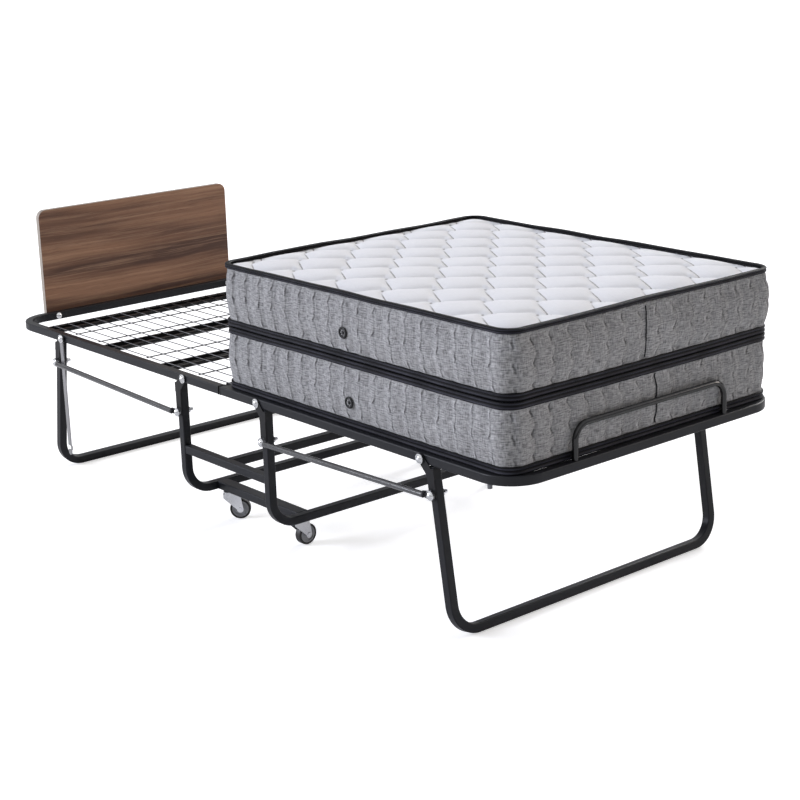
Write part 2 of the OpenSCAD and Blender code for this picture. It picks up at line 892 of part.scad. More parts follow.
placed() carriage_leg_head();
placed() carriage_leg_foot();
placed() carriage_brackets_head();
placed() carriage_brackets_foot();
placed() carriage_side_rail_right();
placed() carriage_side_rail_left();
placed() carriage_cross_brace();
placed() caster_rail_right();
placed() caster_rail_left();
placed() carriage_bolts_head();
placed() carriage_bolts_foot();
placed() caster_mounts();
placed() head_frame();
placed() head_frame_plugs();
placed() head_bands();
placed() head_wires_long();
placed() head_wires_cross();
placed() headboard();
placed() headboard_spacers();
placed() headboard_bolts();
placed() foot_frame();
placed() foot_frame_plugs();
placed() foot_bands();
placed() foot_wires_long();
placed() foot_wires_cross();
placed() foot_hoop();
placed() rail_bumper();
placed() head_leg();
placed() head_leg_brackets();
placed() head_leg_bolts();
placed() foot_leg();
placed() foot_leg_brackets();
placed() foot_leg_bolts();
placed() head_link_right();
placed() head_link_left();
placed() foot_link_right();
placed() foot_link_left();
placed() latch_hook();
placed() caster_fork(0);  // caster_1_fork
placed() caster_axle(0);  // caster_1_axle
placed() caster_wheel(0);  // caster_1_wheel
placed() caster_tyre(0);  // caster_1_tyre
placed() caster_fork(1);  // caster_2_fork
placed() caster_axle(1);  // caster_2_axle
placed() caster_wheel(1);  // caster_2_wheel
placed() caster_tyre(1);  // caster_2_tyre
placed() caster_fork(2);  // caster_3_fork
placed() caster_axle(2);  // caster_3_axle
placed() caster_wheel(2);  // caster_3_wheel
placed() caster_tyre(2);  // caster_3_tyre
placed() caster_fork(3);  // caster_4_fork
placed() caster_axle(3);  // caster_4_axle
placed() caster_wheel(3);  // caster_4_wheel
placed() caster_tyre(3);  // caster_4_tyre
placed() mattress_lower();
placed() mattress_lower_vents();
placed() mattress_upper();
placed() mattress_upper_vents();
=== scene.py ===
"""Looks of a folding roll-away cot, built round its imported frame.

Every finish is procedural. The mattress halves with their tapes, seams and vents, and the headboard, are rebuilt here
in more detail than the frame carries. All other sub-parts keep their shape and get a finish.
"""

import logging
import math
from dataclasses import dataclass
from enum import Enum
from functools import partialmethod

import bpy
import numpy as np
from mathutils import Matrix, Vector


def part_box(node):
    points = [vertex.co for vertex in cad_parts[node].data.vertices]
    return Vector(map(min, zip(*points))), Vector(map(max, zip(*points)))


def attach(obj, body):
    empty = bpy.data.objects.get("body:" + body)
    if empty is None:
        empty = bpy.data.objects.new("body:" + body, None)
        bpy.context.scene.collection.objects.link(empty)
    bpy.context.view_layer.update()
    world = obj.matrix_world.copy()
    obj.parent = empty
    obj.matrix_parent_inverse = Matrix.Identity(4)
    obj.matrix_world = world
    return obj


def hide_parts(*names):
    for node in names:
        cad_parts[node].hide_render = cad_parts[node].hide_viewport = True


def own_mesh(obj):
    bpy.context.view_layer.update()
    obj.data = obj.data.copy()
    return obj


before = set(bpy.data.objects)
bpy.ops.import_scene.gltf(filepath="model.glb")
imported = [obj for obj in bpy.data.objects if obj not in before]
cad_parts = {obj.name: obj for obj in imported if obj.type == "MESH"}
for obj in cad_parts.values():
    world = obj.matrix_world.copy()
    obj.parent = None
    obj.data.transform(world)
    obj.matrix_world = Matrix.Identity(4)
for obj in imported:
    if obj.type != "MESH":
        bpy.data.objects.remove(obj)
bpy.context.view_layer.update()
LOG = logging.getLogger("cot")
MM = 0.001
GREY = (0.5, 0.5, 0.5, 1.0)
ORIGIN = (0.0, 0.0, 0.0)
NOISE_LATTICE = 64
SEWN_STEEPNESS = 2.6


# ---------- meshes ----------


def grid_faces(rows: int, columns: int, closed: bool = False) -> np.ndarray:
    """Quads of a grid of points stored row by row.

    Args:
        rows: Number of rows of points.
        columns: Number of points in a row.
        closed: True if each row runs round and meets its own start.

    Returns:
        An (n, 4) array of point numbers.
    """
    across = columns if closed else columns - 1
    i, j = np.meshgrid(np.arange(rows - 1), np.arange(across), indexing="ij")
    k = (j + 1) % columns
    here, after = i * columns, (i + 1) * columns
    return np.stack([here + j, here + k, after + k, after + j], -1).reshape(-1, 4)


def capped_tube(rings: int, count: int) -> np.ndarray:
    """Triangles of a tube of `rings` rings of `count` points, and of a fan round each of the two end centres."""
    body = grid_faces(rings, count, closed=True)
    j = np.arange(count)
    k = (j + 1) % count
    total = rings * count
    last = total - count
    start = np.stack([np.full(count, total), k, j], -1)
    end = np.stack([np.full(count, total + 1), last + j, last + k], -1)
    return np.concatenate([body[:, [0, 1, 2]], body[:, [0, 2, 3]], start, end])


def make_mesh(name: str, points: np.ndarray, faces: np.ndarray, uv: np.ndarray | None = None) -> bpy.types.Object:
    """A smooth-shaded mesh object from whole arrays.

    Args:
        name: The piece's name.
        points: An (n, 3) array of places in metres.
        faces: An (m, 4) or (m, 3) array of point numbers, anticlockwise from outside.
        uv: One (u, v) pair a point or a face corner, or None.

    Returns:
        The new object, at the origin.
    """
    mesh = bpy.data.meshes.new(name)
    mesh.vertices.add(len(points))
    mesh.vertices.foreach_set("co", np.asarray(points, np.float32).ravel())
    sides = faces.shape[1]
    mesh.loops.add(faces.size)
    mesh.loops.foreach_set("vertex_index", faces.astype(np.int32).ravel())
    mesh.polygons.add(len(faces))
    mesh.polygons.foreach_set("loop_start", np.arange(0, faces.size, sides, dtype=np.int32))
    mesh.polygons.foreach_set("use_smooth", np.ones(len(faces), bool))
    if uv is not None:
        layer = mesh.uv_layers.new(name="UVMap")
        corners = uv if len(uv) == faces.size else uv[faces.ravel()]
        layer.data.foreach_set("uv", np.asarray(corners, np.float32).ravel())
    mesh.update()
    mesh.validate()
    piece = bpy.data.objects.new(name, mesh)
    bpy.context.scene.collection.objects.link(piece)
    return piece


def add_attribute(piece: bpy.types.Object, name: str, values: np.ndarray) -> None:
    """Stores one number a point on a piece's mesh, for its material."""
    attribute = piece.data.attributes.new(name, "FLOAT", "POINT")
    attribute.data.foreach_set("value", np.asarray(values, np.float32).ravel())


def recalculated(piece: bpy.types.Object) -> bpy.types.Object:
    """Turns a closed mesh's faces outward, by the sign of its volume, and gives the piece back."""
    mesh = piece.data
    mesh.calc_loop_triangles()
    co = np.zeros(len(mesh.vertices) * 3, np.float32)
    mesh.vertices.foreach_get("co", co)
    tri = np.zeros(len(mesh.loop_triangles) * 3, np.int32)
    mesh.loop_triangles.foreach_get("vertices", tri)
    a, b, c = (co.reshape(-1, 3)[tri.reshape(-1, 3)[:, n]] for n in range(3))
    if np.einsum("ij,ij->i", a, np.cross(b, c)).sum() < 0:
        mesh.flip_normals()
    return piece


def distances(run: np.ndarray) -> np.ndarray:
    """Distance of each point of a run from the first, along the run."""
    return np.concatenate([[0], np.cumsum(np.linalg.norm(np.diff(run, axis=0), axis=1))])


def ring_normals(ring: np.ndarray) -> np.ndarray:
    """Level directions that point out of an anticlockwise ring, one a point."""
    tangent = np.roll(ring, -1, 0) - np.roll(ring, 1, 0)
    tangent /= np.linalg.norm(tangent, axis=1, keepdims=True)
    return np.stack([tangent[:, 1], -tangent[:, 0], 0 * tangent[:, 0]], -1)


def sweep(
    name: str, path: np.ndarray, outward: np.ndarray, up: np.ndarray, profile: np.ndarray, closed: bool
) -> bpy.types.Object:
    """Carries a closed profile along a path.

    Args:
        name: The piece's name.
        path: An (n, 3) array of centre points.
        outward: The profile's first direction at each of them.
        up: The profile's second direction at each of them.
        profile: An (m, 2) array, or (n, m, 2) where it changes along the path.
        closed: True if the path meets its own start. If not, the two ends are capped with a fan.

    Returns:
        The new object, with u round the profile and v along the path, both in metres.
    """
    n = len(path)
    shape = np.broadcast_to(profile, (n, *profile.shape[-2:]))
    m = shape.shape[1]
    rings = path[:, None] + shape[..., :1] * outward[:, None] + shape[..., 1:] * up[:, None]
    points = rings.reshape(-1, 3)
    uv = np.stack(np.broadcast_arrays(distances(shape[0])[None], distances(path)[:, None]), -1).reshape(-1, 2)
    if closed:
        j = np.arange(m)
        k = (j + 1) % m
        last = (n - 1) * m
        seam = np.stack([last + j, last + k, k, j], -1)
        faces = np.concatenate([grid_faces(n, m, closed=True), seam])
    else:
        points = np.concatenate([points, rings[[0, -1]].mean(1)])
        uv = np.concatenate([uv, uv[[0, -1]]])
        faces = capped_tube(n, m)
    return recalculated(make_mesh(name, points, faces, uv))


def rounded_profile(width: float, height: float, radius: float | list, steps: int) -> np.ndarray:
    """A centred rounded rectangle as a closed run of points.

    Args:
        width: Size along the first direction.
        height: Size along the second direction.
        radius: One corner radius, or one for each corner.
        steps: Points on each corner.

    Returns:
        A (4 * steps, 2) array, anticlockwise from the corner where both directions are positive.
    """
    radius = np.broadcast_to(radius, 4)[:, None]
    angles = np.linspace(0, math.pi / 2, steps)[None] + np.arange(4)[:, None] * math.pi / 2
    sx, sy = np.array([1, -1, -1, 1]), np.array([1, 1, -1, -1])
    x = sx[:, None] * (width / 2 - radius) + radius * np.cos(angles)
    y = sy[:, None] * (height / 2 - radius) + radius * np.sin(angles)
    return np.stack([x, y], -1).reshape(-1, 2)


def evenly(profile: np.ndarray, count: int) -> np.ndarray:
    """Places `count` points at even distances round a closed (m, 2) profile, from its own start."""
    closed = np.concatenate([profile, profile[:1]])
    gone = distances(closed)
    wanted = np.linspace(0, gone[-1], count, endpoint=False)
    return np.stack([np.interp(wanted, gone, closed[:, k]) for k in (0, 1)], -1)


def cubic_matrix(coarse: int, fine: int) -> np.ndarray:
    """A (fine, coarse) array that carries `coarse` even values to `fine` places on a Catmull-Rom curve."""
    at = np.linspace(0, coarse - 1, fine)
    k = np.minimum(at.astype(int), coarse - 2)
    t = at - k
    weights = (
        -0.5 * t + t**2 - 0.5 * t**3, 1 - 2.5 * t**2 + 1.5 * t**3,
        0.5 * t + 2 * t**2 - 1.5 * t**3, -0.5 * t**2 + 0.5 * t**3)
    out = np.zeros((fine, coarse))
    for n, weight in enumerate(weights):
        np.add.at(out, (np.arange(fine), np.clip(k - 1 + n, 0, coarse - 1)), weight)
    return out


def smooth_step(value: np.ndarray, low: float, high: float) -> np.ndarray:
    """Rises smoothly from 0 at `low` to 1 at `high`."""
    t = np.clip((value - low) / (high - low), 0, 1)
    return t * t * (3 - 2 * t)


def smooth_noise(points: np.ndarray, size: float, seed: int) -> np.ndarray:
    """Soft bumps of a given size at any points: random values on a lattice, blended smoothly between.

    Args:
        points: An (n, 2) array of places.
        size: Distance between lattice points, in the same unit.
        seed: Fixes the random values.

    Returns:
        n values from about -1 to 1.
    """
    values = np.random.default_rng(seed).uniform(-1, 1, (NOISE_LATTICE, NOISE_LATTICE))
    cell = points / size
    k = np.floor(cell).astype(int)
    s, t = smooth_step(cell - k, 0, 1).T
    a, b = (k % NOISE_LATTICE).T
    c, d = ((k + 1) % NOISE_LATTICE).T
    low = values[a, b] * (1 - s) + values[c, b] * s
    high = values[a, d] * (1 - s) + values[c, d] * s
    return low * (1 - t) + high * t


# ---------- how the mattress is sewn ----------


def dome(share: np.ndarray, power: float) -> np.ndarray:
    """Padding between sewn lines: 0 on a line (share 0), full halfway to the next (share 1)."""
    return (1 - (1 - share) ** SEWN_STEEPNESS) ** power


@dataclass(frozen=True)
class Quilt:
    """Diamond quilting on a broad face, whose sewn lines run in overlapping strokes. All sizes are in metres."""

    pitch_x: float = 0.150
    pitch_y: float = 0.1476
    start_x: float = 0.505
    start_y: float = -0.028
    rise: float = 0.26
    curve: float = 1.15
    overlap: float = 0.72
    unsewn: float = 0.6
    cross: float = 0.77
    lean: float = 0.11
    bow: float = 0.08
    puff: float = 0.0105
    dimple: float = 0.003
    dimple_spread: float = 0.02

    def numbers(self, x: np.ndarray, y: np.ndarray) -> tuple[np.ndarray, np.ndarray]:
        """Numbers, at places along and across the bed, of the two line families that the pattern is drawn on."""
        u = (x - self.start_x) / self.pitch_x
        v = (y - self.start_y) / self.pitch_y
        return u + v, u - v

    def height(self, p: np.ndarray, q: np.ndarray) -> np.ndarray:
        """Height of the padding over the sewn lines: a dome between them, and a dimple where two lines cross.

        Args:
            p: First family's numbers.
            q: Second family's numbers.

        Returns:
            The height in metres, 0 on a line.
        """
        t = q - np.floor(q)
        stroke = p - self.rise * t**self.curve
        first = np.abs(stroke - np.round(stroke)) + self.unsewn * smooth_step(t, 0.88, 1.0)
        second = np.abs(p - np.round(p)) + self.unsewn * (1 - smooth_step(t, self.overlap - 0.08, self.overlap))
        share = (p - np.floor(p) - self.rise) / (1 - self.rise)
        line = q - self.cross + self.lean * share - self.bow * np.sin(math.pi * np.clip(share, 0, 1))
        along = np.clip(2 * np.minimum(first, second), 0, 1)
        across = 2 * np.abs(line - np.round(line))
        crossing = np.exp(-(along**2 + across**2) / self.dimple_spread)
        return self.puff * (dome(along, 0.6) * dome(across, 0.55)) - self.dimple * crossing


@dataclass(frozen=True)
class Border:
    """Sewn columns on the side cloth, in bowed lines crossed by rows. All sizes are in metres."""

    pitch: float = 0.05
    row: float = 0.044
    first_row: float = 0.027
    bow: float = 0.15
    lean: float = 0.06
    puff: float = 0.0046
    belly: float = 0.0135

    def height(self, along: np.ndarray, drop: np.ndarray) -> np.ndarray:
        """Height of the side cloth: soft columns between bowed lines, pulled in where the rows meet them.

        Args:
            along: Distance round the side.
            drop: Distance below the top of the half.

        Returns:
            The height in metres, 0 on a line.
        """
        v = (drop - self.first_row) / self.row
        u = along / self.pitch - self.bow * np.sin(math.pi * (v - np.floor(v))) - self.lean * v
        line = 2 * np.abs(u - np.round(u))
        row = 2 * np.abs(v - np.round(v))
        pull = np.exp(-((line / 0.35) ** 2) - (row / 0.3) ** 2)
        return self.puff * (dome(line, 1.05) * (0.8 + 0.2 * row) - 0.5 * pull)


QUILT = Quilt()
BORDER = Border()


# ---------- shader building ----------


def opaque(colour: tuple) -> tuple:
    """A colour with full cover."""
    return (*colour, 1.0)


class Signal:
    """An output socket. Plain arithmetic between signals, or with a number, builds nodes."""

    def __init__(self, shader: "Shader", socket: bpy.types.NodeSocket):
        """Wraps a socket of the builder's tree."""
        self.shader = shader
        self.socket = socket

    def apply(self, operation: str, *others) -> "Signal":
        """One step of arithmetic with this value first, by Blender's name for the step."""
        return self.shader.take("Math", dict(enumerate((self, *others))), operation=operation)

    __add__ = partialmethod(apply, "ADD")
    __sub__ = partialmethod(apply, "SUBTRACT")
    __mul__ = partialmethod(apply, "MULTIPLY")
    __truediv__ = partialmethod(apply, "DIVIDE")

    def __rsub__(self, other: float) -> "Signal":
        """A number less this."""
        return self.shader.take("Math", {0: other, 1: self}, operation="SUBTRACT")

    def clamped(self) -> "Signal":
        """Keeps the result of the last step from 0 to 1."""
        self.socket.node.use_clamp = True
        return self

    def band(self, low: float, high: float, start: float = 0.0, end: float = 1.0) -> "Signal":
        """Carries the value from one range to another, and keeps it inside.

        Args:
            low: Value that becomes `start`.
            high: Value that becomes `end`.
            start: Result at `low`.
            end: Result at `high`.

        Returns:
            The result.
        """
        return self.shader.take("MapRange", {0: self, 1: low, 2: high, 3: start, 4: end})


class Shader:
    """A material or node group under construction. Its inputs take plain values, sockets or signals."""

    def __init__(self, tree: bpy.types.NodeTree):
        """Starts on a node tree."""
        self.tree = tree

    def feed(self, node: bpy.types.Node, inputs: dict) -> None:
        """Sets or links a node's inputs, which are named or numbered."""
        for key, value in inputs.items():
            if isinstance(value, Signal):
                self.tree.links.new(value.socket, node.inputs[key])
            else:
                node.inputs[key].default_value = value

    def node(self, kind: str, inputs: dict | None = None, **settings) -> bpy.types.Node:
        """Adds a node.

        Args:
            kind: The node's type name, without its "ShaderNode" start if it has one.
            inputs: What each named or numbered input gets.
            **settings: The node's own settings.

        Returns:
            The node.
        """
        made = self.tree.nodes.new(kind if kind.startswith("NodeGroup") else "ShaderNode" + kind)
        for key, value in settings.items():
            setattr(made, key, value)
        self.feed(made, inputs or {})
        return made

    def take(self, kind: str, inputs: dict | None = None, output: int | str = 0, **settings) -> Signal:
        """Adds a node and gives one of its outputs."""
        return Signal(self, self.node(kind, inputs, **settings).outputs[output])

    def outputs(self, node: bpy.types.Node) -> dict[str, Signal]:
        """A node's outputs by name."""
        return {socket.name: Signal(self, socket) for socket in node.outputs if socket.name}

    def group(self, tree: bpy.types.NodeTree, inputs: dict) -> dict[str, Signal]:
        """Places a node group and gives its outputs by name."""
        return self.outputs(self.node("Group", inputs, node_tree=tree))

    def split(self, value: Signal, kind: str = "SeparateXYZ") -> list[Signal]:
        """The three parts of a vector or colour."""
        return list(self.outputs(self.node(kind, {0: value})).values())

    def mix(self, factor, a, b, blend: str = "MIX") -> Signal:
        """Blends colours `a` and `b`, with `factor` as the share of `b`."""
        return self.take("Mix", {0: factor, 6: a, 7: b}, 2, data_type="RGBA", blend_type=blend)

    def noise(self, place: Signal, scale, detail: float = 2.0, roughness: float = 0.5) -> Signal:
        """Cloudy noise from 0 to 1.

        Args:
            place: The place it reads.
            scale: Its fineness.
            detail: Number of finer layers.
            roughness: Strength of the finer layers.

        Returns:
            The value.
        """
        wanted = {"Vector": place, "Scale": scale, "Detail": detail, "Roughness": roughness}
        return self.take("TexNoise", wanted, "Fac")

    def stretched(self, place: Signal, scale: tuple) -> Signal:
        """A place with each of its directions multiplied by its own number."""
        return self.take("Mapping", {"Vector": place, "Scale": scale})

    def bump(self, height: Signal, depth: float, strength: float = 1.0, under: Signal | None = None) -> Signal:
        """A normal bent by a height.

        Args:
            height: Signal from 0 to 1.
            depth: Height of 1 in metres.
            strength: Share of the effect.
            under: Normal that is bent further, or None for the piece's own.

        Returns:
            The normal.
        """
        bent = {} if under is None else {"Normal": under}
        return self.take("Bump", {"Height": height, "Distance": depth, "Strength": strength, **bent})


def new_group(name: str, inputs: dict, outputs: dict) -> tuple[Shader, dict[str, Signal], bpy.types.Node]:
    """Starts a reusable shader node group.

    Args:
        name: The group's name.
        inputs: Default value of each input; a tuple of 3 is a vector, of 4 a colour, and a number a value.
        outputs: The same for the outputs, whose values are not used.

    Returns:
        The builder, the inputs by name, and the node that takes the outputs.
    """
    tree = bpy.data.node_groups.new(name, "ShaderNodeTree")
    for way, sockets in (("INPUT", inputs), ("OUTPUT", outputs)):
        for key, value in sockets.items():
            kind = "NodeSocketFloat"
            if isinstance(value, tuple):
                kind = "NodeSocketColor" if len(value) == len(GREY) else "NodeSocketVector"
            made = tree.interface.new_socket(name=key, in_out=way, socket_type=kind)
            if way == "INPUT":
                made.default_value = value
    shader = Shader(tree)
    return shader, shader.outputs(shader.node("NodeGroupInput")), shader.node("NodeGroupOutput")


def new_material(name: str) -> tuple[bpy.types.Material, Shader, bpy.types.Node]:
    """A new material, its builder and its Principled node."""
    material = bpy.data.materials.new(name)
    material.use_nodes = True
    return material, Shader(material.node_tree), material.node_tree.nodes["Principled BSDF"]


class Effects:
    """The node groups that several finishes share, each built once."""

    DUST = (0.42, 0.40, 0.37, 1.0)

    def __init__(self):
        """Builds every group."""
        self.wear = self._wear()
        self.weave = self._weave()
        self.dust = self._dust()
        self.grain = self._grain()

    def _wear(self) -> bpy.types.NodeTree:
        """Handling marks on paint or metal: soft smudges, fine orange peel and a few rubbed specks."""
        shader, given, out = new_group(
            "wear",
            {"Place": ORIGIN, "Colour": GREY, "Rubbed": GREY, "Amount": 0.3, "Roughness": 0.4, "Spread": 0.1,
             "Fineness": 1.0},
            {"Colour": GREY, "Roughness": 0.0, "Height": 0.0})
        place, fine = given["Place"], given["Fineness"]
        smudge = shader.noise(place, fine * 9.0, 4.0, 0.6)
        speck = shader.noise(place, fine * 140.0, 3.0, 0.7)
        peel = shader.noise(place, fine * 900.0, 1.0)
        rubbed = (speck.band(0.62, 0.72) * smudge.band(0.45, 0.7) * given["Amount"]).clamped()
        tone = shader.mix(smudge.band(0.3, 0.7, 0.0, 0.35), given["Colour"], given["Rubbed"])
        rough = given["Roughness"] + (smudge - 0.5) * given["Spread"] * 2.0
        shader.feed(out, {
            "Colour": shader.mix(rubbed, tone, given["Rubbed"]), "Roughness": (rough + rubbed * 0.2).clamped(),
            "Height": peel})
        return shader.tree

    def _weave(self) -> bpy.types.NodeTree:
        """Woven cloth on u and v in metres: threads over and under, and slubs along both directions."""
        shader, given, out = new_group(
            "weave",
            {"Place": ORIGIN, "Threads": 900.0, "Light": GREY, "Dark": GREY, "Slub": 0.5, "Coarse": 350.0},
            {"Colour": GREY, "Height": 0.0})
        place = given["Place"]
        turns = given["Threads"] * (2 * math.pi)
        warp, weft = ((way * turns).apply("SINE") for way in shader.split(place)[:2])
        over = (warp * weft).band(-1.0, 1.0)
        runs = []
        for scale in ((0.16, 1.0, 1.0), (1.0, 0.16, 1.0)):
            wide = {0: shader.stretched(place, scale), "Scale": given["Coarse"]}
            cloud = shader.noise(shader.take("VectorMath", wide, operation="SCALE"), 1.0, 2.0, 0.6)
            runs.append(cloud.band(0.32, 0.68))
        slub = runs[0] * 0.6 + runs[1] * 0.4
        tone = shader.take("RGBToBW", {0: shader.mix(given["Slub"], over, slub)})
        shader.feed(out, {"Colour": shader.mix(tone, given["Dark"], given["Light"]), "Height": over * 0.6 + slub})
        return shader.tree

    def _dust(self) -> bpy.types.NodeTree:
        """A faint pale film in soft patches, most on faces that look up."""
        shader, given, out = new_group(
            "dust", {"Place": ORIGIN, "Colour": GREY, "Amount": 0.1}, {"Colour": GREY, "Mask": 0.0})
        patches = shader.noise(given["Place"], 22.0, 5.0, 0.65).band(0.4, 0.75)
        upward = shader.split(shader.take("NewGeometry", output="Normal"))[2]
        mask = (patches * upward.band(-0.2, 1.0, 0.25, 1.0) * given["Amount"]).clamped()
        shader.feed(out, {"Colour": shader.mix(mask, given["Colour"], self.DUST), "Mask": mask})
        return shader.tree

    def _grain(self) -> bpy.types.NodeTree:
        """Wood grain that runs along the y direction: wandering bands, fine pores and darker streaks."""
        shader, given, out = new_group(
            "grain", {"Place": ORIGIN, "Light": GREY, "Mid": GREY, "Dark": GREY}, {"Colour": GREY, "Pores": 0.0})
        place = given["Place"]
        drift = shader.noise(shader.stretched(place, (1.0, 1.2, 4.0)), 1.0, 3.0, 0.6)
        x, y, z = shader.split(place)
        lined = shader.take("CombineXYZ", {0: x, 1: y, 2: z + drift * 0.035})
        broad = shader.noise(shader.stretched(lined, (1.0, 1.1, 17.0)), 1.0, 3.0, 0.6)
        streaks = shader.noise(shader.stretched(lined, (4.0, 2.2, 120.0)), 1.0, 5.0, 0.75)
        pores = shader.noise(shader.stretched(lined, (30.0, 30.0, 900.0)), 1.0, 2.0, 0.6).band(0.42, 0.3)
        tone = shader.mix(broad.band(0.38, 0.6), given["Dark"], given["Mid"])
        tone = shader.mix(streaks.band(0.48, 0.72, 0.0, 0.75), tone, given["Light"])
        tone = shader.mix(streaks.band(0.42, 0.25, 0.0, 0.7), tone, given["Dark"])
        shader.feed(out, {"Colour": shader.mix(pores * 0.45, tone, given["Dark"]), "Pores": pores})
        return shader.tree


@dataclass(frozen=True)
class Finish:
    """The parts of a finish that all materials have."""

    name: str
    colour: tuple = (0.5, 0.5, 0.5)
    roughness: float = 0.5
    metallic: float = 0.0
    coat: float = 0.0
    shine: float = 0.5
    COAT_ROUGHNESS = 0.2

    def inputs(self, shader: Shader, effects: Effects) -> dict:
        """What the Principled node's inputs get, besides the plain numbers above."""
        raise NotImplementedError

    def build(self, effects: Effects) -> bpy.types.Material:
        """Makes the material from the shared node groups."""
        material, shader, surface = new_material(self.name)
        shader.feed(surface, {
            "Metallic": self.metallic, "Coat Weight": self.coat, "Coat Roughness": self.COAT_ROUGHNESS,
            "Specular IOR Level": self.shine, **self.inputs(shader, effects)})
        return material


@dataclass(frozen=True)
class Hard(Finish):
    """Paint, metal or moulded plastic, with handling marks and a little dust."""

    rubbed: tuple = (0.3, 0.3, 0.3)
    amount: float = 0.3
    spread: float = 0.1
    dust: float = 0.1
    peel: float = 0.00003
    fineness: float = 1.0

    def inputs(self, shader: Shader, effects: Effects) -> dict:
        """Wear, and dust over it."""
        place = shader.take("TexCoord", output="Object")
        wear = shader.group(effects.wear, {
            "Place": place, "Colour": opaque(self.colour), "Rubbed": opaque(self.rubbed), "Amount": self.amount,
            "Roughness": self.roughness, "Spread": self.spread, "Fineness": self.fineness})
        dust = shader.group(effects.dust, {"Place": place, "Colour": wear["Colour"], "Amount": self.dust})
        return {
            "Base Color": dust["Colour"], "Roughness": (wear["Roughness"] + dust["Mask"] * 0.4).clamped(),
            "Normal": shader.bump(wear["Height"], self.peel)}


@dataclass(frozen=True)
class Cloth(Finish):
    """Woven cloth that reads the piece's UV map in metres."""

    dark: tuple = (0.2, 0.2, 0.2)
    threads: float = 700.0
    slub: float = 0.6
    coarse: float = 400.0
    relief: float = 0.0004
    sheen: float = 0.2

    def inputs(self, shader: Shader, effects: Effects) -> dict:
        """The weave, over whatever is sewn into it."""
        woven = shader.group(effects.weave, {
            "Place": shader.take("TexCoord", output="UV"), "Threads": self.threads, "Light": opaque(self.colour),
            "Dark": opaque(self.dark), "Slub": self.slub, "Coarse": self.coarse})
        tone, sewn = self.sewn(shader, woven["Colour"])
        return {
            "Roughness": self.roughness, "Sheen Weight": self.sheen, "Base Color": tone,
            "Normal": shader.bump(woven["Height"], self.relief, under=sewn)}

    def sewn(self, shader: Shader, tone: Signal) -> tuple[Signal, Signal | None]:
        """The cloth's colour once sewn, from the weave's `tone`, and the normal that sewing gives it or None."""
        return tone, None


@dataclass(frozen=True)
class Binding(Cloth):
    """The black tape on the edges of a mattress, with a painted highlight along each of its two rolls."""

    # Colour of the painted highlight on the tape's rolls.
    raised: tuple = (0.05, 0.05, 0.066)

    def sewn(self, shader: Shader, tone: Signal) -> tuple[Signal, Signal | None]:
        """Paints a highlight on the rolls, in soft patches."""
        painted_highlight_mask = shader.take("Attribute", output="Fac", attribute_name="painted_highlight_mask")
        place = shader.take("TexCoord", output="Object")
        patches = shader.noise(place, 16.0, 3.0, 0.6).band(0.3, 0.62, 0.3, 1.0)
        # Painted highlight: the rolls are mixed toward the highlight colour, in soft patches.
        return shader.mix(painted_highlight_mask * patches, tone, opaque(self.raised)), None


@dataclass(frozen=True)
class Ticking(Cloth):
    """The grey border cloth of a mattress: a heathered weave, sewn in bowed lines with a slanting tack at each row.

    Its UV map holds the distance round the side and the distance below the top. Sizes are in metres.
    """

    groove_width: float = 0.0045
    groove_depth: float = 0.0045
    tack_length: float = 0.0085
    tack_width: float = 0.0027
    tack_shift: float = 0.004
    tack_curl: float = 45.0
    lit_offset: float = 0.0055
    lit_width: float = 0.003
    tack_shade: float = 0.45

    def sewn(self, shader: Shader, tone: Signal) -> tuple[Signal, Signal | None]:
        """Draws the lines as soft grooves darkened with painted shade, and at each crossing a sunk tack in painted
        shade with a painted highlight on its lit side.
        """
        place = shader.take("TexCoord", output="UV")
        along, drop, _ = shader.split(place)
        rows = (drop - BORDER.first_row) / BORDER.row
        swing = (rows.apply("FRACT") * math.pi).apply("SINE")
        lines = along / BORDER.pitch - swing * BORDER.bow - rows * BORDER.lean
        column, level = lines.apply("ROUND"), rows.apply("ROUND")
        cell = shader.take("CombineXYZ", {0: column, 1: level, 2: 0.0})
        chances = shader.split(shader.take("TexWhiteNoise", {"Vector": cell}, "Color"), "SeparateColor")
        x = (lines - column) * BORDER.pitch
        y = (rows - level) * BORDER.row + chances[1].band(0, 1, -self.tack_shift, self.tack_shift)
        groove = x.apply("ABSOLUTE").band(self.groove_width, 0.0)
        side = x - y * chances[0].band(0, 1, -0.5, 0.25) + y * y * self.tack_curl
        reach, narrow = y / self.tack_length, side / self.tack_width
        tack = (reach * reach + narrow * narrow).band(1.5, 0.1) * chances[2].band(0, 1, 0.35, 1.0)
        beside = (side + self.lit_offset) / self.lit_width
        # Painted highlight on the lit side beside each tack.
        painted_lit_side = (reach * reach + beside * beside).band(1.3, 0.2) * 0.35
        cloud = shader.noise(place, 9.0, 3.0).band(0.3, 0.7, 0.88, 1.08)
        tone = shader.mix(1.0, tone, shader.take("CombineColor", {0: cloud, 1: cloud, 2: cloud}), "MULTIPLY")
        tone = shader.mix(painted_lit_side, tone, opaque(self.colour))
        # Painted shade in the sewn grooves.
        tone = shader.mix(groove * 0.14, tone, opaque(self.dark))
        # Painted shade in each sunk tack.
        tone = shader.mix(tack * 0.55, tone, opaque(tuple(self.tack_shade * c for c in self.dark)))
        return tone, shader.bump(1.0 - (tack + groove * 0.5), self.groove_depth, 0.85)


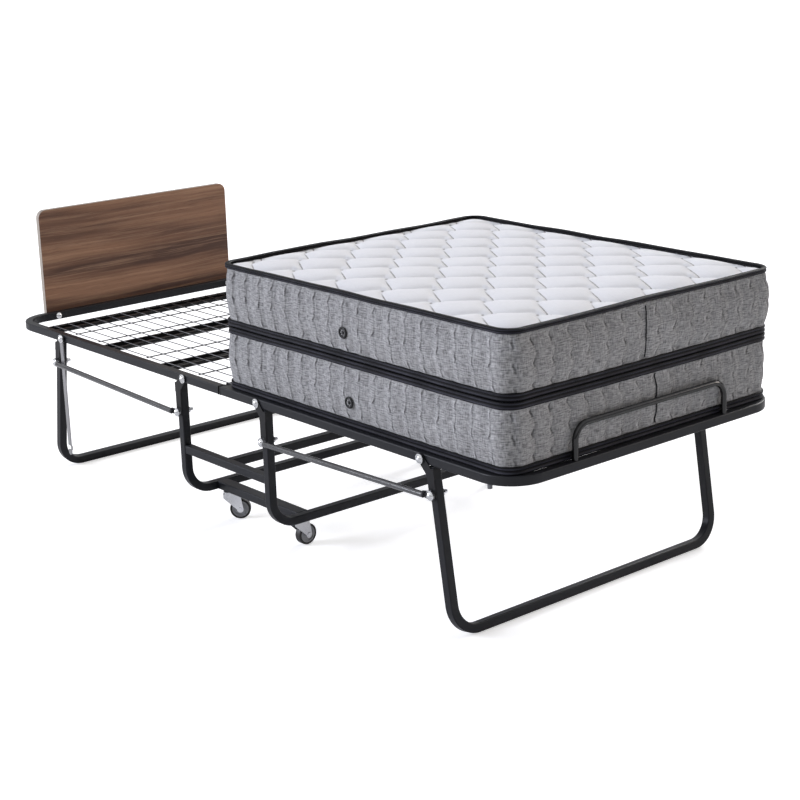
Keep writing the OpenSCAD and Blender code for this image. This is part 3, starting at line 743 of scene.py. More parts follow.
@dataclass(frozen=True)
class Knit(Cloth):
    """The white quilted cover: a fine knit, and dark strokes where the quilting is sewn, in thread colour darkened
    with painted shade of the sewn line.
    """

    thread_and_shade: tuple = (0.22, 0.2, 0.19)
    stitches: float = 26.0
    stroke_depth: float = 0.002

    def sewn(self, shader: Shader, tone: Signal) -> tuple[Signal, Signal | None]:
        """Draws a long and a short stroke in each cell of the pattern, broken into stitches: thread colour with
        painted shade.
        """
        p, q = (shader.take("Attribute", output="Fac", attribute_name=key) for key in ("quilt_p", "quilt_q"))
        t = q.apply("FRACT")
        first = (p - t.apply("POWER", QUILT.curve) * QUILT.rise).apply("PINGPONG", 0.5)
        second = p.apply("PINGPONG", 0.5)
        long_mask = t.band(0.04, 0.3, 0.25, 1.0) * t.band(1.0, 0.93)
        short_mask = t.band(QUILT.overlap, QUILT.overlap + 0.05) * t.band(0.93, 0.85)
        short_line = second.band(0.032, 0.01) * short_mask
        stroke = (first.band(0.021, 0.007) * long_mask).apply("MAXIMUM", short_line)
        stitch = (q * self.stitches).apply("PINGPONG", 0.5).band(0.12, 0.3, 0.7, 1.0)
        # Thread colour, darkened further as painted shade in the sewn stroke.
        tone = shader.mix(stroke * stitch * 0.8, tone, opaque(self.thread_and_shade))
        return tone, shader.bump(1.0 - stroke, self.stroke_depth, 0.8)


@dataclass(frozen=True)
class Timber(Finish):
    """Laminated board with a wood grain that runs along the bed's width."""

    mid: tuple = (0.2, 0.1, 0.06)
    dark: tuple = (0.05, 0.02, 0.01)
    dust: float = 0.06
    pore_depth: float = 0.00012

    def inputs(self, shader: Shader, effects: Effects) -> dict:
        """Grain, with dust over it and pores that are rougher than the rest."""
        place = shader.take("TexCoord", output="Object")
        grain = shader.group(effects.grain, {
            "Place": place, "Light": opaque(self.colour), "Mid": opaque(self.mid), "Dark": opaque(self.dark)})
        dust = shader.group(effects.dust, {"Place": place, "Colour": grain["Colour"], "Amount": self.dust})
        smudge = shader.noise(place, 14.0, 4.0).band(0.3, 0.7, -0.06, 0.08)
        return {
            "Base Color": dust["Colour"], "Roughness": (smudge + self.roughness + grain["Pores"] * 0.15).clamped(),
            "Normal": shader.bump(1.0 - grain["Pores"], self.pore_depth)}


PAINT = {"rubbed": (0.035, 0.034, 0.033), "spread": 0.08, "shine": 0.22, "dust": 0.01}
FINISHES = {
    "tube": Hard("tube_paint", (0.010, 0.011, 0.015), 0.34, amount=0.35, **PAINT),
    "sheet_steel": Hard("sheet_paint", (0.007, 0.007, 0.009), 0.34, amount=0.4, **PAINT),
    "gloss": Hard("gloss_paint", (0.002, 0.002, 0.003), 0.1, amount=0.1, **{**PAINT, "shine": 0.5, "spread": 0.02}),
    "rod": Hard(
        "rod_steel", (0.02, 0.02, 0.024), 0.17, coat=0.4, rubbed=(0.1, 0.1, 0.1), spread=0.04, dust=0.02, shine=0.8),
    "chrome": Hard(
        "bright_bolt", (0.8, 0.81, 0.83), 0.16, 1.0, rubbed=(0.5, 0.49, 0.47), amount=0.5, dust=0.03),
    "zinc": Hard(
        "zinc_plate", (0.8, 0.81, 0.84), 0.24, 1.0, rubbed=(0.4, 0.39, 0.37), spread=0.14, amount=0.5, dust=0.08,
        fineness=2.0),
    "hook": Hard(
        "hook_steel", (0.3, 0.3, 0.31), 0.36, 0.85, rubbed=(0.45, 0.44, 0.43), spread=0.12, amount=0.6, dust=0.08),
    "wire": Hard("deck_wire", (0.1, 0.1, 0.108), 0.36, 0.85, dust=0.03),
    "cross_wire": Hard("cross_wire", (0.012, 0.012, 0.014), 0.36, shine=0.35, rubbed=(0.08, 0.08, 0.08), dust=0.03),
    "plug": Hard("black_plug", (0.008, 0.008, 0.009), rubbed=(0.04, 0.04, 0.04), shine=0.3),
    "rubber": Hard(
        "tyre_rubber", (0.008, 0.008, 0.008), 0.4, rubbed=(0.05, 0.047, 0.044), amount=0.5, peel=0.0001, shine=0.3),
    "wheel": Hard("wheel_plastic", (0.3, 0.305, 0.32), 0.3, rubbed=(0.4, 0.4, 0.4)),
    "bumper": Hard("grey_rubber", (0.1, 0.104, 0.115), rubbed=(0.2, 0.2, 0.2), dust=0.12),
    "edge_band": Hard("edge_band", (0.4, 0.35, 0.3), 0.45, rubbed=(0.3, 0.25, 0.2)),
    "board": Timber("walnut_board", (0.58, 0.35, 0.22), mid=(0.38, 0.2, 0.12), dark=(0.12, 0.062, 0.044), shine=0.3),
    "ticking": Ticking(
        "grey_ticking", (0.66, 0.655, 0.665), 0.95, dark=(0.05, 0.05, 0.052), slub=0.85, shine=0.1, relief=0.0008),
    "cover": Knit(
        "white_cover", (0.9, 0.9, 0.92), 0.9, dark=(0.72, 0.72, 0.74), threads=400.0, slub=0.35, relief=0.0003,
        shine=0.2),
    "tape": Binding(
        "edge_tape", (0.004, 0.004, 0.005), 0.42, dark=(0.002, 0.002, 0.003), threads=600.0, slub=0.2, relief=0.0003,
        sheen=0.0, shine=0.09),
    "welt": Cloth(
        "seam_welt", (0.05, 0.05, 0.054), 0.7, dark=(0.01, 0.01, 0.011), threads=900.0, slub=0.3, relief=0.0003,
        sheen=0.0, shine=0.1),
    "vent": Hard("vent_rubber", (0.008, 0.008, 0.009), 0.4, rubbed=(0.04, 0.04, 0.04), dust=0.04, shine=0.25),
}


# ---------- the mattress ----------


class Face(Enum):
    """What a broad face of a mattress half does."""

    OPEN = "stands free and crowns"
    RESTING = "lies on something and stays flat"


class Uneven(Enum):
    """Kinds of unevenness: size and height, and the step from the half's seed to its own.

    Both are in metres, except for the height of TAPE_GIRTH, which is a share of the tape's thickness.
    """

    CREASE = (0.011, 0.0007, 0)
    DRIFT = (0.13, 0.0015, 1)
    WAVE = (0.06, 0.0012, 2)
    PUCKER = (0.02, 0.0005, 3)
    TAPE_HEIGHT = (0.11, 0.0018, 7)
    TAPE_GIRTH = (0.03, 0.12, 8)


@dataclass
class MattressHalf:
    """One half of the mattress: a closed cushion, two edge tapes, an end seam and two air vents."""

    level: str
    body: str
    top: Face
    seam_y: float
    seam_bow: float
    seed: int
    finishes: dict
    crown: float = 0.0145
    rest_rise: float = 0.0125
    open_slope: float = 0.04
    rest_slope: float = 0.026
    edge_fade: float = 0.02
    side_fade: float = 14.0
    blown_top: tuple = (0.1, 0.03)
    blown_side: tuple = (0.15, 0.02)
    ring_drop: float = 0.013
    flat_drop: float = 0.0095
    ring_inset: float = 0.005
    corner: float = 0.043
    tape_width: float = 0.0165
    tape_thick: float = 0.009
    flat_tape: tuple = (0.013, 0.0108)
    tape_step: float = 0.006
    tape_gap: float = 0.0003
    tape_points: int = 40
    tape_pinch: float = 0.4
    # Place and width of the tape's painted highlight band, as shares of its height.
    highlight_place: float = 0.23
    highlight_width: float = 0.085
    tape_corner: float = 0.48
    floor_corner: float = 0.22
    tape_lift: float = 0.001
    fold_ease: float = 0.45
    hoop_ease: float = 0.62
    ease_from: float = 0.05
    ease_to: float = 0.01
    seam_sink: float = 0.002
    seam_spread: float = 0.004
    seam_stand: float = 0.0008
    coarse: float = 0.015
    finer: int = 3
    side_coarse: int = 11
    MIDDLE_TAPE = (0.16, 0.0014, 40)
    FRAMES = 20
    BLOWN = {
        "vertex_group_mass": "held", "quality": 6, "mass": 0.4, "tension_stiffness": 40, "compression_stiffness": 40,
        "shear_stiffness": 20, "bending_stiffness": 2, "use_pressure": True, "uniform_pressure_force": 4}

    def __post_init__(self):
        """Reads the half's place from the frame."""
        self.node = "mattress_" + self.level
        low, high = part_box(self.node)
        self.low, self.high = np.array(low), np.array(high)
        self.centre = (self.low + self.high) / 2
        self.half = (self.high - self.low) / 2

    def cells(self, size: float) -> list[int]:
        """Number of cells of about a given size along the half and across it."""
        return [int(round(2 * h / size)) for h in self.half[:2]]

    def outline(self, counts: list[int], inset: float) -> np.ndarray:
        """A grid over a rounded rectangle, whose corner cells follow the elliptical square-to-disc map.

        Args:
            counts: Number of points along and across.
            inset: How far inside the half's edge the rectangle's edge lies.

        Returns:
            An array of (x, y) places.
        """
        x, y = np.meshgrid(*(np.linspace(-1, 1, n) for n in counts), indexing="ij")
        half = self.half[:2] - inset
        radius = self.corner - inset
        place = np.stack([x * half[0], y * half[1]], -1)
        core = half - radius
        t = np.clip((np.abs(place) - core) / radius, 0, 1)
        rounded = t * np.sqrt(1 - t[..., ::-1] ** 2 / 2)
        corner = (t > 0).all(-1, keepdims=True)
        moved = np.where(corner, np.sign(place) * (core + radius * rounded), place)
        return moved + self.centre[:2]

    def loop(self, rows: int, columns: int) -> np.ndarray:
        """Numbers of a grid's edge points, anticlockwise from its first."""
        n = np.arange(rows * columns).reshape(rows, columns)
        return np.concatenate([n[:, 0], n[-1, 1:], n[-2::-1, -1], n[0, -2:0:-1]])

    def shell(self, finer: int) -> dict:
        """A closed, still flat cushion: a grid above, a grid below, and rings between their edges.

        Args:
            finer: Number of cells across one coarse cell.

        Returns:
            The points of both grids and of the rings, the numbers of the grids' edge points, and the counts.
        """
        counts = [n * finer + 1 for n in self.cells(self.coarse)]
        plan = self.outline(counts, self.ring_inset)
        rings = self.side_coarse * finer
        drop = self.flat_drop if self.top is Face.OPEN else self.ring_drop
        levels = (self.high[2] - drop, self.low[2] + self.ring_drop)
        top, low = (np.concatenate([plan, np.full((*counts, 1), z)], -1) for z in levels)
        edge = self.loop(*counts)
        share = np.linspace(0, 1, rings + 1)[:, None, None]
        sides = top.reshape(-1, 3)[edge][None] * (1 - share) + low.reshape(-1, 3)[edge][None] * share
        return {"counts": counts, "rings": rings, "edge": edge, "top": top, "low": low, "sides": sides}

    def assemble(self, name: str, shell: dict) -> bpy.types.Object:
        """Joins a shell's grids and rings into one closed mesh.

        Args:
            name: The piece's name.
            shell: What `shell` gave, with its points moved or not.

        Returns:
            The object. Material 0 is on the sides and 1 on the broad faces.
        """
        counts, rings, edge, sides = (shell[key] for key in ("counts", "rings", "edge", "sides"))
        size, length = counts[0] * counts[1], len(edge)
        inner = 2 * size + np.arange((rings - 1) * length).reshape(rings - 1, length)
        table = np.concatenate([edge[None], inner, size + edge[None]])
        broad = grid_faces(*counts)[:, [0, 3, 2, 1]]
        k, n = np.meshgrid(np.arange(rings), np.arange(length), indexing="ij")
        m = (n + 1) % length
        corners = ((k, n), (k + 1, n), (k + 1, m), (k, m))
        walls = np.stack([table[corner] for corner in corners], -1).reshape(-1, 4)
        points = np.concatenate([part.reshape(-1, 3) for part in (shell["top"], shell["low"], sides[1:-1])])
        along, round_length = self.around(sides[rings // 2])
        stretch = BORDER.pitch * round(round_length / BORDER.pitch) / round_length
        along, round_length = along * stretch, round_length * stretch
        u0, u1 = along[n], np.where(n + 1 < length, along[m], round_length)
        v = self.high[2] - sides[..., 2]
        pairs = [np.stack([u, v[corner]], -1) for u, corner in zip((u0, u0, u1, u1), corners)]
        wall_uv = np.stack(pairs, -2).reshape(-1, 2)
        faces = np.concatenate([broad, size + broad[:, ::-1], walls])
        flat_uv = points[faces[: 2 * len(broad)].ravel(), :2]
        piece = make_mesh(name, points, faces, np.concatenate([flat_uv, wall_uv]))
        cloth = np.repeat([1, 0], [2 * len(broad), len(walls)]).astype(np.int32)
        piece.data.polygons.foreach_set("material_index", cloth)
        return piece

    def around(self, ring: np.ndarray) -> tuple[np.ndarray, float]:
        """Distance of each point of a ring from its first, and the whole way round."""
        steps = np.linalg.norm(np.roll(ring[:, :2], -1, 0) - ring[:, :2], axis=1)
        return np.concatenate([[0], np.cumsum(steps)[:-1]]), float(steps.sum())

    def inflate(self, shell: dict) -> dict:
        """Blows up a coarse shell as cloth, held at its two edge rings.

        Args:
            shell: A coarse shell.

        Returns:
            How far each point of the grids and rings moved.
        """
        moved = {key: np.zeros_like(shell[key]) for key in ("top", "low", "sides")}
        piece = self.assemble("cushion_form", shell)
        rest = np.zeros(len(piece.data.vertices) * 3, np.float32)
        piece.data.vertices.foreach_get("co", rest)
        edge, size = shell["edge"], shell["counts"][0] * shell["counts"][1]
        held = piece.vertex_groups.new(name="held")
        held.add([int(n) for n in np.concatenate([edge, size + edge])], 1.0, "REPLACE")
        cloth = piece.modifiers.new("Cloth", "CLOTH")
        for key, value in self.BLOWN.items():
            setattr(cloth.settings, key, value)
        cloth.settings.effector_weights.gravity = 0
        cloth.collision_settings.use_collision = False
        cloth.point_cache.frame_start, cloth.point_cache.frame_end = 1, self.FRAMES
        scene = bpy.context.scene
        for step in range(1, self.FRAMES + 1):
            scene.frame_set(step)
        done = piece.evaluated_get(bpy.context.evaluated_depsgraph_get()).to_mesh()
        co = np.zeros_like(rest)
        done.vertices.foreach_get("co", co)
        change = (co - rest).reshape(-1, 3)
        scene.frame_set(1)
        bpy.data.objects.remove(piece)
        for part, cut in ((moved["top"], slice(size)), (moved["low"], slice(size, 2 * size)),
                          (moved["sides"][1:-1], slice(2 * size, None))):
            part[...] = change[cut].reshape(part.shape)
        LOG.info("%s swelled by up to %.1f mm before its cap", self.node, np.abs(change).max() / MM)
        return moved

    def spread(self, coarse: dict, fine: dict, moved: dict) -> dict:
        """Carries the coarse shell's movement onto the fine one on smooth curves.

        Args:
            coarse: The coarse shell.
            fine: The fine shell.
            moved: The coarse shell's movement.

        Returns:
            The fine shell's movement.
        """
        ways = [cubic_matrix(c, f) for c, f in zip(coarse["counts"], fine["counts"])]
        out = {key: np.einsum("ia,jb,abk->ijk", *ways, moved[key]) for key in ("top", "low")}
        round_way = cubic_matrix(len(coarse["edge"]) + 1, len(fine["edge"]) + 1)[:-1]
        closed = np.concatenate([moved["sides"], moved["sides"][:, :1]], 1)
        down = cubic_matrix(coarse["rings"] + 1, fine["rings"] + 1)
        out["sides"] = np.einsum("ia,jb,abk->ijk", down, round_way, closed)
        return out

    def wrinkles(self, places: np.ndarray, kind: Uneven) -> np.ndarray:
        """Height of one kind of unevenness at an array of places."""
        size, height, step = kind.value
        return height * smooth_noise(places.reshape(-1, 2), size, self.seed + step).reshape(places.shape[:-1])

    def capped(self, blown: np.ndarray, part: float, full: float) -> np.ndarray:
        """Factor near 1 on a given bulge, of which `part` follows how far the cloth was blown, up to about `full`."""
        return 1 - part + part * np.tanh(blown / full)

    def eased(self, x: np.ndarray, end: float, ease: float) -> np.ndarray:
        """Share of the side's bulge that is left near one end of the half."""
        return 1 - ease * smooth_step(np.abs(x - end), self.ease_from, self.ease_to)

    def edge_gap(self, plan: np.ndarray) -> np.ndarray:
        """Distance of each place in plan from the edge ring."""
        half = self.half[:2] - self.ring_inset
        radius = self.corner - self.ring_inset
        past = np.abs(plan - self.centre[:2]) - (half - radius)
        outside = np.linalg.norm(np.maximum(past, 0), axis=-1) + np.minimum(past.max(-1), 0)
        return np.maximum(radius - outside, 0)

    def broad_face(self, plan: np.ndarray, swell: np.ndarray, face: Face) -> tuple[np.ndarray, np.ndarray, np.ndarray]:
        """Height of a broad face over its edge ring: the swell, capped, less the quilting.

        Args:
            plan: Places in plan.
            swell: How far the blown cloth moved away from the middle.
            face: Whether it stands free or rests.

        Returns:
            The height, and the numbers of both line families.
        """
        free = face is Face.OPEN
        cap, slope = (self.crown, self.open_slope) if free else (self.rest_rise, self.rest_slope)
        gap = self.edge_gap(plan)
        rise = cap * (1 - np.exp(-gap / slope)) * self.capped(np.maximum(swell, 0), *self.blown_top)
        p, q = QUILT.numbers(plan[..., 0], plan[..., 1])
        puff = QUILT.height(p, q)
        fade = 1 - np.exp(-((gap / self.edge_fade) ** 2))
        near = np.exp(-((3 - 3 * (QUILT.puff - puff) / QUILT.puff) ** 2))
        drift = self.wrinkles(plan, Uneven.DRIFT) if free else 0
        return rise + (puff - QUILT.puff + self.wrinkles(plan, Uneven.CREASE) * near + drift) * fade, p, q

    def side_faces(self, sides: np.ndarray, moved: np.ndarray) -> np.ndarray:
        """The side cloth: bulged between the tapes, capped, and sewn in columns.

        Args:
            sides: The fine rings.
            moved: Their movement as blown cloth.

        Returns:
            The finished rings.
        """
        rings, ring = len(sides), sides[0]
        along, length = self.around(sides[rings // 2])
        columns = round(length / BORDER.pitch)
        outward = ring_normals(ring)
        share = np.linspace(0, 1, rings)[:, None]
        blown = np.einsum("ijk,jk->ij", moved, outward)
        out = BORDER.belly * np.sin(math.pi * share) ** 0.7 * self.capped(blown, *self.blown_side)
        out = out * self.eased(ring[:, 0], self.low[0], self.fold_ease)
        if self.level == "lower":
            out = out * self.eased(ring[:, 0], self.high[0], self.hoop_ease)
        drop = self.high[2] - sides[..., 2]
        raised = BORDER.height(along[None] * BORDER.pitch * columns / length, drop)
        fade = np.clip(np.minimum(share, 1 - share) * self.side_fade, 0, 1)
        cloth = np.stack(np.broadcast_arrays(along[None], drop), -1)
        uneven = self.wrinkles(cloth, Uneven.WAVE) + self.wrinkles(cloth * (1, 3), Uneven.PUCKER)
        gap = along - along[self.seam_column(ring)]
        seam = self.seam_sink * np.exp(-((gap / self.seam_spread) ** 2))
        out = out + (raised - BORDER.puff + uneven - seam) * fade
        return sides + out[..., None] * outward

    def seam_column(self, ring: np.ndarray) -> int:
        """Number of the ring point where the end seam stands."""
        foot = np.abs(ring[:, 0] - ring[:, 0].max()) < 0.002
        return int(np.argmin(np.abs(ring[:, 1] - self.seam_y) + 10 * ~foot))

    def build(self) -> None:
        """Makes the cushion and everything sewn to it."""
        coarse, fine = self.shell(1), self.shell(self.finer)
        moved = self.spread(coarse, fine, self.inflate(coarse))
        families = []
        for key, face, way in (("top", self.top, 1), ("low", Face.RESTING, -1)):
            height, *numbers = self.broad_face(fine[key][..., :2], way * moved[key][..., 2], face)
            fine[key][..., 2] += way * height
            families.append(numbers)
        self.sides = fine["sides"] = self.side_faces(fine["sides"], moved["sides"])
        self.sides[0] = fine["top"].reshape(-1, 3)[fine["edge"]]
        self.sides[-1] = fine["low"].reshape(-1, 3)[fine["edge"]]
        pad = self.assemble(self.node + "_cushion", fine)
        inner = np.full(self.sides[1:-1, :, 0].size, 0.5)
        for key, top, low in zip(("quilt_p", "quilt_q"), *families):
            add_attribute(pad, key, np.concatenate([top.ravel(), low.ravel(), inner]))
        pad.data.materials.append(self.finishes["ticking"])
        pad.data.materials.append(self.finishes["cover"])
        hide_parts(self.node)
        self.join(pad)
        for edge_name in ("top", "bottom"):
            self.join(self.tape(edge_name))
        self.join(self.end_seam())
        self.join(self.vents())

    def join(self, piece: bpy.types.Object) -> None:
        """Makes a piece move with this half; a piece of the upper half gets a mesh of its own."""
        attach(piece, self.body)
        if self.level == "upper":
            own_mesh(piece)
        LOG.info("made %s with %d faces", piece.name, len(piece.data.polygons))

    def tape(self, edge_name: str) -> bpy.types.Object:
        """A folded tape sewn round one edge in two rolls, a little uneven as it goes.

        Args:
            edge_name: Which edge it is, "top" or "bottom".

        Returns:
            The piece.
        """
        place = (self.level, edge_name)
        open_edge, floor_edge = place == ("upper", "top"), place == ("lower", "bottom")
        thick, tall = self.flat_tape if open_edge else (self.tape_thick, self.tape_width)
        z = self.high[2] - tall / 2 if edge_name == "top" else self.low[2] + tall / 2
        counts = self.cells(self.tape_step)
        ring = self.outline(counts, thick / 2 + self.tape_gap).reshape(-1, 2)[self.loop(*counts)]
        outward = ring_normals(ring)
        up = np.broadcast_to([0.0, 0.0, 1.0], outward.shape)
        path = np.column_stack([ring, np.full(len(ring), z)])
        if open_edge:
            path[:, 2] += self.wrinkles(ring, Uneven.TAPE_HEIGHT) + self.tape_lift
        elif floor_edge:
            path[:, 2] -= self.tape_gap
        else:
            size, height, seed = self.MIDDLE_TAPE
            path[:, 2] += height * smooth_noise(ring, size, seed)
        corner = self.tape_thick * (self.floor_corner if floor_edge else self.tape_corner)
        base = evenly(rounded_profile(thick, tall, corner, 7), self.tape_points)
        fat = 1 + self.wrinkles(ring, Uneven.TAPE_GIRTH)[:, None]
        pinch = 1 - self.tape_thick / thick * self.tape_pinch * np.cos(math.pi * base[:, 1] / tall) ** 8
        profile = np.stack(np.broadcast_arrays(base[:, 0] * fat * pinch, base[:, 1]), -1)
        piece = sweep(f"{self.node}_tape_{edge_name}", path, outward, up, profile, closed=True)
        # Where the tape's painted highlight falls: a band on the outer face of each roll.
        roll = np.exp(-(((np.abs(base[:, 1]) / tall - self.highlight_place) / self.highlight_width) ** 2)) * (base[:, 0] > 0)
        add_attribute(piece, "painted_highlight_mask", np.tile(roll, len(ring)))
        piece.data.materials.append(self.finishes["tape"])
        return piece

    def end_seam(self) -> bpy.types.Object:
        """The narrow welt where the side cloth's two ends meet, at the foot end."""
        foot = self.sides[2:-2, self.sides[0][:, 0] > self.high[0] - 0.01]
        y = self.seam_y + self.seam_bow * np.sin(math.pi * np.linspace(0, 1, len(foot)))
        x = np.array([np.interp(want, row[:, 1], row[:, 0]) for want, row in zip(y, foot)])
        path = np.stack([x + self.seam_stand, y, foot[:, 0, 2]], -1)
        outward, side = (np.broadcast_to(way, path.shape) for way in ([1.0, 0.0, 0.0], [0.0, 1.0, 0.0]))
        profile = rounded_profile(0.002, 0.0028, 0.0009, 3)
        piece = sweep(self.node + "_seam", path, outward, side, profile, closed=False)
        piece.data.materials.append(self.finishes["welt"])
        return piece

    def vents(self) -> bpy.types.Object:
        """A round rubber vent on each long side: a rolled lip, a sunk web and a middle button."""
        low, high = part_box(self.node + "_vents")
        x, z = (low[0] + high[0]) / 2, (low[2] + high[2]) / 2
        share, height = np.array([
            [0.0, 0.0011], [0.2, 0.0011], [0.27, 0.0006], [0.3, -0.0004], [0.62, -0.0004], [0.66, 0.0012],
            [0.74, 0.002], [0.86, 0.0021], [0.96, 0.0012], [1.0, -0.001]]).T[..., None]
        steps, slots, slot_depth, stand = 48, 8, 0.0012, 0.0006
        turn = np.linspace(0, 2 * math.pi, steps, endpoint=False)
        r = share * (high[2] - low[2]) / 2
        cut = slot_depth * (np.abs(share - 0.46) < 0.17) * (np.cos(slots * turn)[None] > 0.2)
        parts = []
        for way in (-1, 1):
            near = self.sides[..., 1] * way
            spot = np.hypot(self.sides[..., 0] - x, self.sides[..., 2] - z) + (near < 0)
            out = near.ravel()[np.argmin(spot)] + stand + height - cut
            parts.append(np.stack([x + r * np.cos(turn), way * out, z + r * np.sin(turn)], -1).reshape(-1, 3))
        faces = grid_faces(len(share), steps, closed=True)
        both = np.concatenate([faces, faces[:, ::-1] + len(share) * steps])
        piece = make_mesh(self.node + "_vent_pair", np.concatenate(parts), both)
        piece.data.materials.append(self.finishes["vent"])
        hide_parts(self.node + "_vents")
        return piece


# ---------- headboard and metalwork ----------


@dataclass
class Headboard:
    """The laminated board at the head end, with its light edge band."""

    node: str = "headboard"
    body: str = "head_half"
    upper_radius: float = 0.022
    lower_radius: float = 0.003
    least_radius: float = 0.0004
    corner_steps: int = 13
    ease: float = 0.0012
    bevel: float = 0.00036
    support: float = 0.002

    def outline(self, inset: float) -> np.ndarray:
        """The board's outline at a given inset from its real edge, as a closed run of (y, z) places."""
        low, high = np.array(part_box(self.node))
        upper, lower = self.upper_radius - inset, max(self.lower_radius - inset, self.least_radius)
        _, width, height = high - low - 2 * inset
        profile = rounded_profile(width, height, [upper, upper, lower, lower], self.corner_steps)
        return profile + (low + high)[1:] / 2

    def build(self, finishes: dict[str, bpy.types.Material]) -> None:
        """Makes the board from rings between its two faces."""
        low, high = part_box(self.node)
        steps = (
            (0, self.ease + self.support), (0, self.ease), (self.bevel, self.bevel), (self.ease, 0),
            (self.ease + self.support, 0))
        rings = [(low[0] + x, inset) for x, inset in steps] + [(high[0] - x, inset) for x, inset in reversed(steps)]
        loops = [(x, self.outline(inset)) for x, inset in rings]
        count = len(loops[0][1])
        middle = (low[2] + high[2]) / 2
        points = np.concatenate(
            [np.column_stack([np.full(count, x), loop]) for x, loop in loops]
            + [[[low[0], 0, middle], [high[0], 0, middle]]])
        tris = capped_tube(len(rings), count)
        piece = make_mesh(self.node + "_panel", points, tris)
        recalculated(piece)
        ring = tris[:, 0] // count
        rim = (ring > 1) & (ring < len(rings) - 3)
        piece.data.polygons.foreach_set("material_index", rim.astype(np.int32))
        piece.data.materials.append(finishes["board"])
        piece.data.materials.append(finishes["edge_band"])
        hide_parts(self.node)
        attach(piece, self.body)
        LOG.info("made %s", piece.name)


class Metalwork:
    """Finishes for the sub-parts that keep the frame's own shape."""

    PLAIN = "tube"
    BY_ENDING = {
        "foot_hoop": "gloss", "_wires_long": "wire", "_wires_cross": "cross_wire", "_plugs": "plug",
        "_spacers": "plug", "_mounts": "plug", "_bolts": "chrome", "_bolts_head": "chrome", "_bolts_foot": "chrome",
        "_link_right": "rod", "_link_left": "rod", "latch_hook": "hook", "_fork": "zinc", "_axle": "zinc",
        "_wheel": "wheel", "_tyre": "rubber", "rail_bumper": "bumper", "_bands": "sheet_steel",
        "_brackets": "sheet_steel", "_brackets_head": "sheet_steel", "_brackets_foot": "sheet_steel"}

    def dress(self, finishes: dict[str, bpy.types.Material]) -> None:
        """Gives every carried-over sub-part its finish."""
        for name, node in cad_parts.items():
            found = [finish for ending, finish in self.BY_ENDING.items() if name.endswith(ending)]
            finish = finishes[found[0] if found else self.PLAIN]
            node.data.materials.clear()
            node.data.materials.append(finish)
            LOG.info("%s has %s", name, finish.name)


# ---------- studio ----------


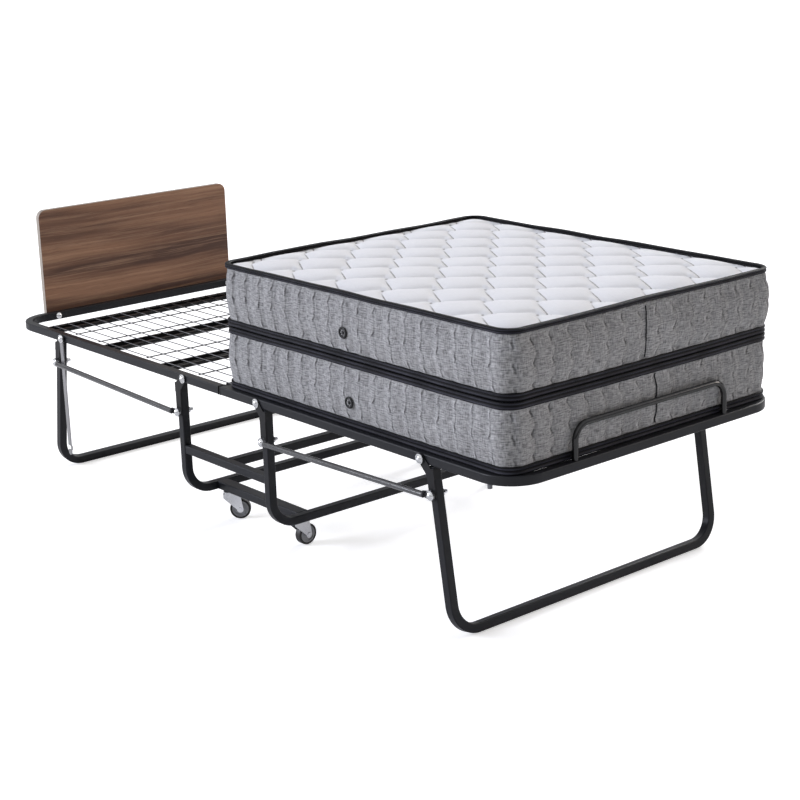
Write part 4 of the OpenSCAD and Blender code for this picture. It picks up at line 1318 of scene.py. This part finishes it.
@dataclass
class Studio:
    """A pale floor, soft lamps and the camera."""

    eye: tuple = (3.19985, -2.53558, 1.43935)
    around: float = 50.1
    down: float = 16.19
    roll: float = -1.72
    lens: float = 79.03
    sensor: float = 36.0
    sight: float = 200.0
    backdrop: float = 1.2
    fill: float = 0.25
    mirrored: tuple = (0.1, 0.9)
    floor_half: float = 60.0
    floor_points: int = 9
    floor_z: float = -0.0004
    floor_lift: float = 0.5

    def camera(self) -> None:
        """Makes the camera and turns it to the bed."""
        a, e, r = (math.radians(angle) for angle in (self.around, self.down, self.roll))
        back = Vector((math.sin(a) * math.cos(e), -math.cos(a) * math.cos(e), math.sin(e)))
        right = Vector((0, 0, 1)).cross(back).normalized()
        up = back.cross(right)
        x = math.cos(r) * right + math.sin(r) * up
        y = math.cos(r) * up - math.sin(r) * right
        data = bpy.data.cameras.new("camera")
        data.sensor_width, data.lens, data.clip_end = self.sensor, self.lens, self.sight
        camera = bpy.data.objects.new("camera", data)
        turn = Matrix((x, y, back)).transposed().to_4x4()
        camera.matrix_world = Matrix.Translation(self.eye) @ turn
        bpy.context.scene.collection.objects.link(camera)
        bpy.context.scene.camera = camera

    def sun(self, name: str, way: tuple, spread: float, strength: float, tint: tuple = (1, 1, 1)) -> None:
        """A soft light that falls evenly on everything.

        Args:
            name: Its name.
            way: Direction from the bed to the light.
            spread: Its apparent width in degrees.
            strength: Its strength in watts a square metre.
            tint: Its colour.
        """
        data = bpy.data.lights.new(name, "SUN")
        data.angle, data.energy, data.color = math.radians(spread), strength, tint
        lamp = bpy.data.objects.new(name, data)
        lamp.rotation_euler = Vector(way).to_track_quat("Z", "Y").to_euler()
        bpy.context.scene.collection.objects.link(lamp)

    def surroundings(self) -> None:
        """A white backdrop all round, which lights the bed softly and mirrors darker near the ground."""
        world = bpy.data.worlds.new("studio")
        world.use_nodes = True
        bpy.context.scene.world = world
        shader = Shader(world.node_tree)
        rays = shader.outputs(shader.node("LightPath"))
        glossy = rays["Is Glossy Ray"]
        height = shader.split(shader.take("TexCoord", output="Object"))[2]
        around = glossy * height.band(0.0, 0.5, *self.mirrored) + (1.0 - glossy) * self.fill
        shader.feed(world.node_tree.nodes["Background"], {
            "Color": (0.98, 0.985, 1, 1),
            "Strength": around.apply("MAXIMUM", rays["Is Camera Ray"] * self.backdrop)})

    def floor(self) -> None:
        """A pale matt floor, lifted to white where the camera sees it."""
        places = np.linspace(-self.floor_half, self.floor_half, self.floor_points)
        x, y = np.meshgrid(places, places, indexing="ij")
        points = np.stack([x, y, 0 * x + self.floor_z], -1).reshape(-1, 3)
        floor = make_mesh("floor", points, grid_faces(self.floor_points, self.floor_points)[:, [0, 3, 2, 1]])
        material, shader, surface = new_material("floor")
        cloud = shader.noise(shader.take("TexCoord", output="Object"), 2.0, 3.0)
        shader.feed(surface, {
            "Roughness": 0.9, "Base Color": shader.mix(cloud, (0.93, 0.93, 0.93, 1), (0.96, 0.96, 0.96, 1)),
            "Emission Color": (1, 1, 1, 1),
            "Emission Strength": shader.take("LightPath", output="Is Camera Ray") * self.floor_lift})
        floor.data.materials.append(material)

    def build(self) -> None:
        """Makes the whole studio."""
        self.camera()
        self.surroundings()
        self.floor()
        self.sun("key", (-0.7, -1.0, 0.5), 30, 2.6, (0.93, 0.96, 1.08))
        self.sun("rake", (-0.3, 1.0, 0.62), 24, 1.8)
        self.sun("side", (0.45, 0.95, 0.4), 20, 0.66, (1.1, 0.98, 0.9))
        bpy.context.scene.view_settings.view_transform = "Standard"


# ---------- the whole ----------


def main() -> None:
    """Builds the cot's pieces in order."""
    logging.basicConfig(level=logging.INFO, format="%(message)s")
    Studio().build()
    effects = Effects()
    finishes = {key: finish.build(effects) for key, finish in FINISHES.items()}
    Metalwork().dress(finishes)
    Headboard().build(finishes)
    MattressHalf("lower", "foot_half", Face.RESTING, 0.022, 0.001, 11, finishes).build()
    MattressHalf("upper", "upper_mattress", Face.OPEN, -0.012, -0.004, 23, finishes).build()


if __name__ == "__main__":
    main()
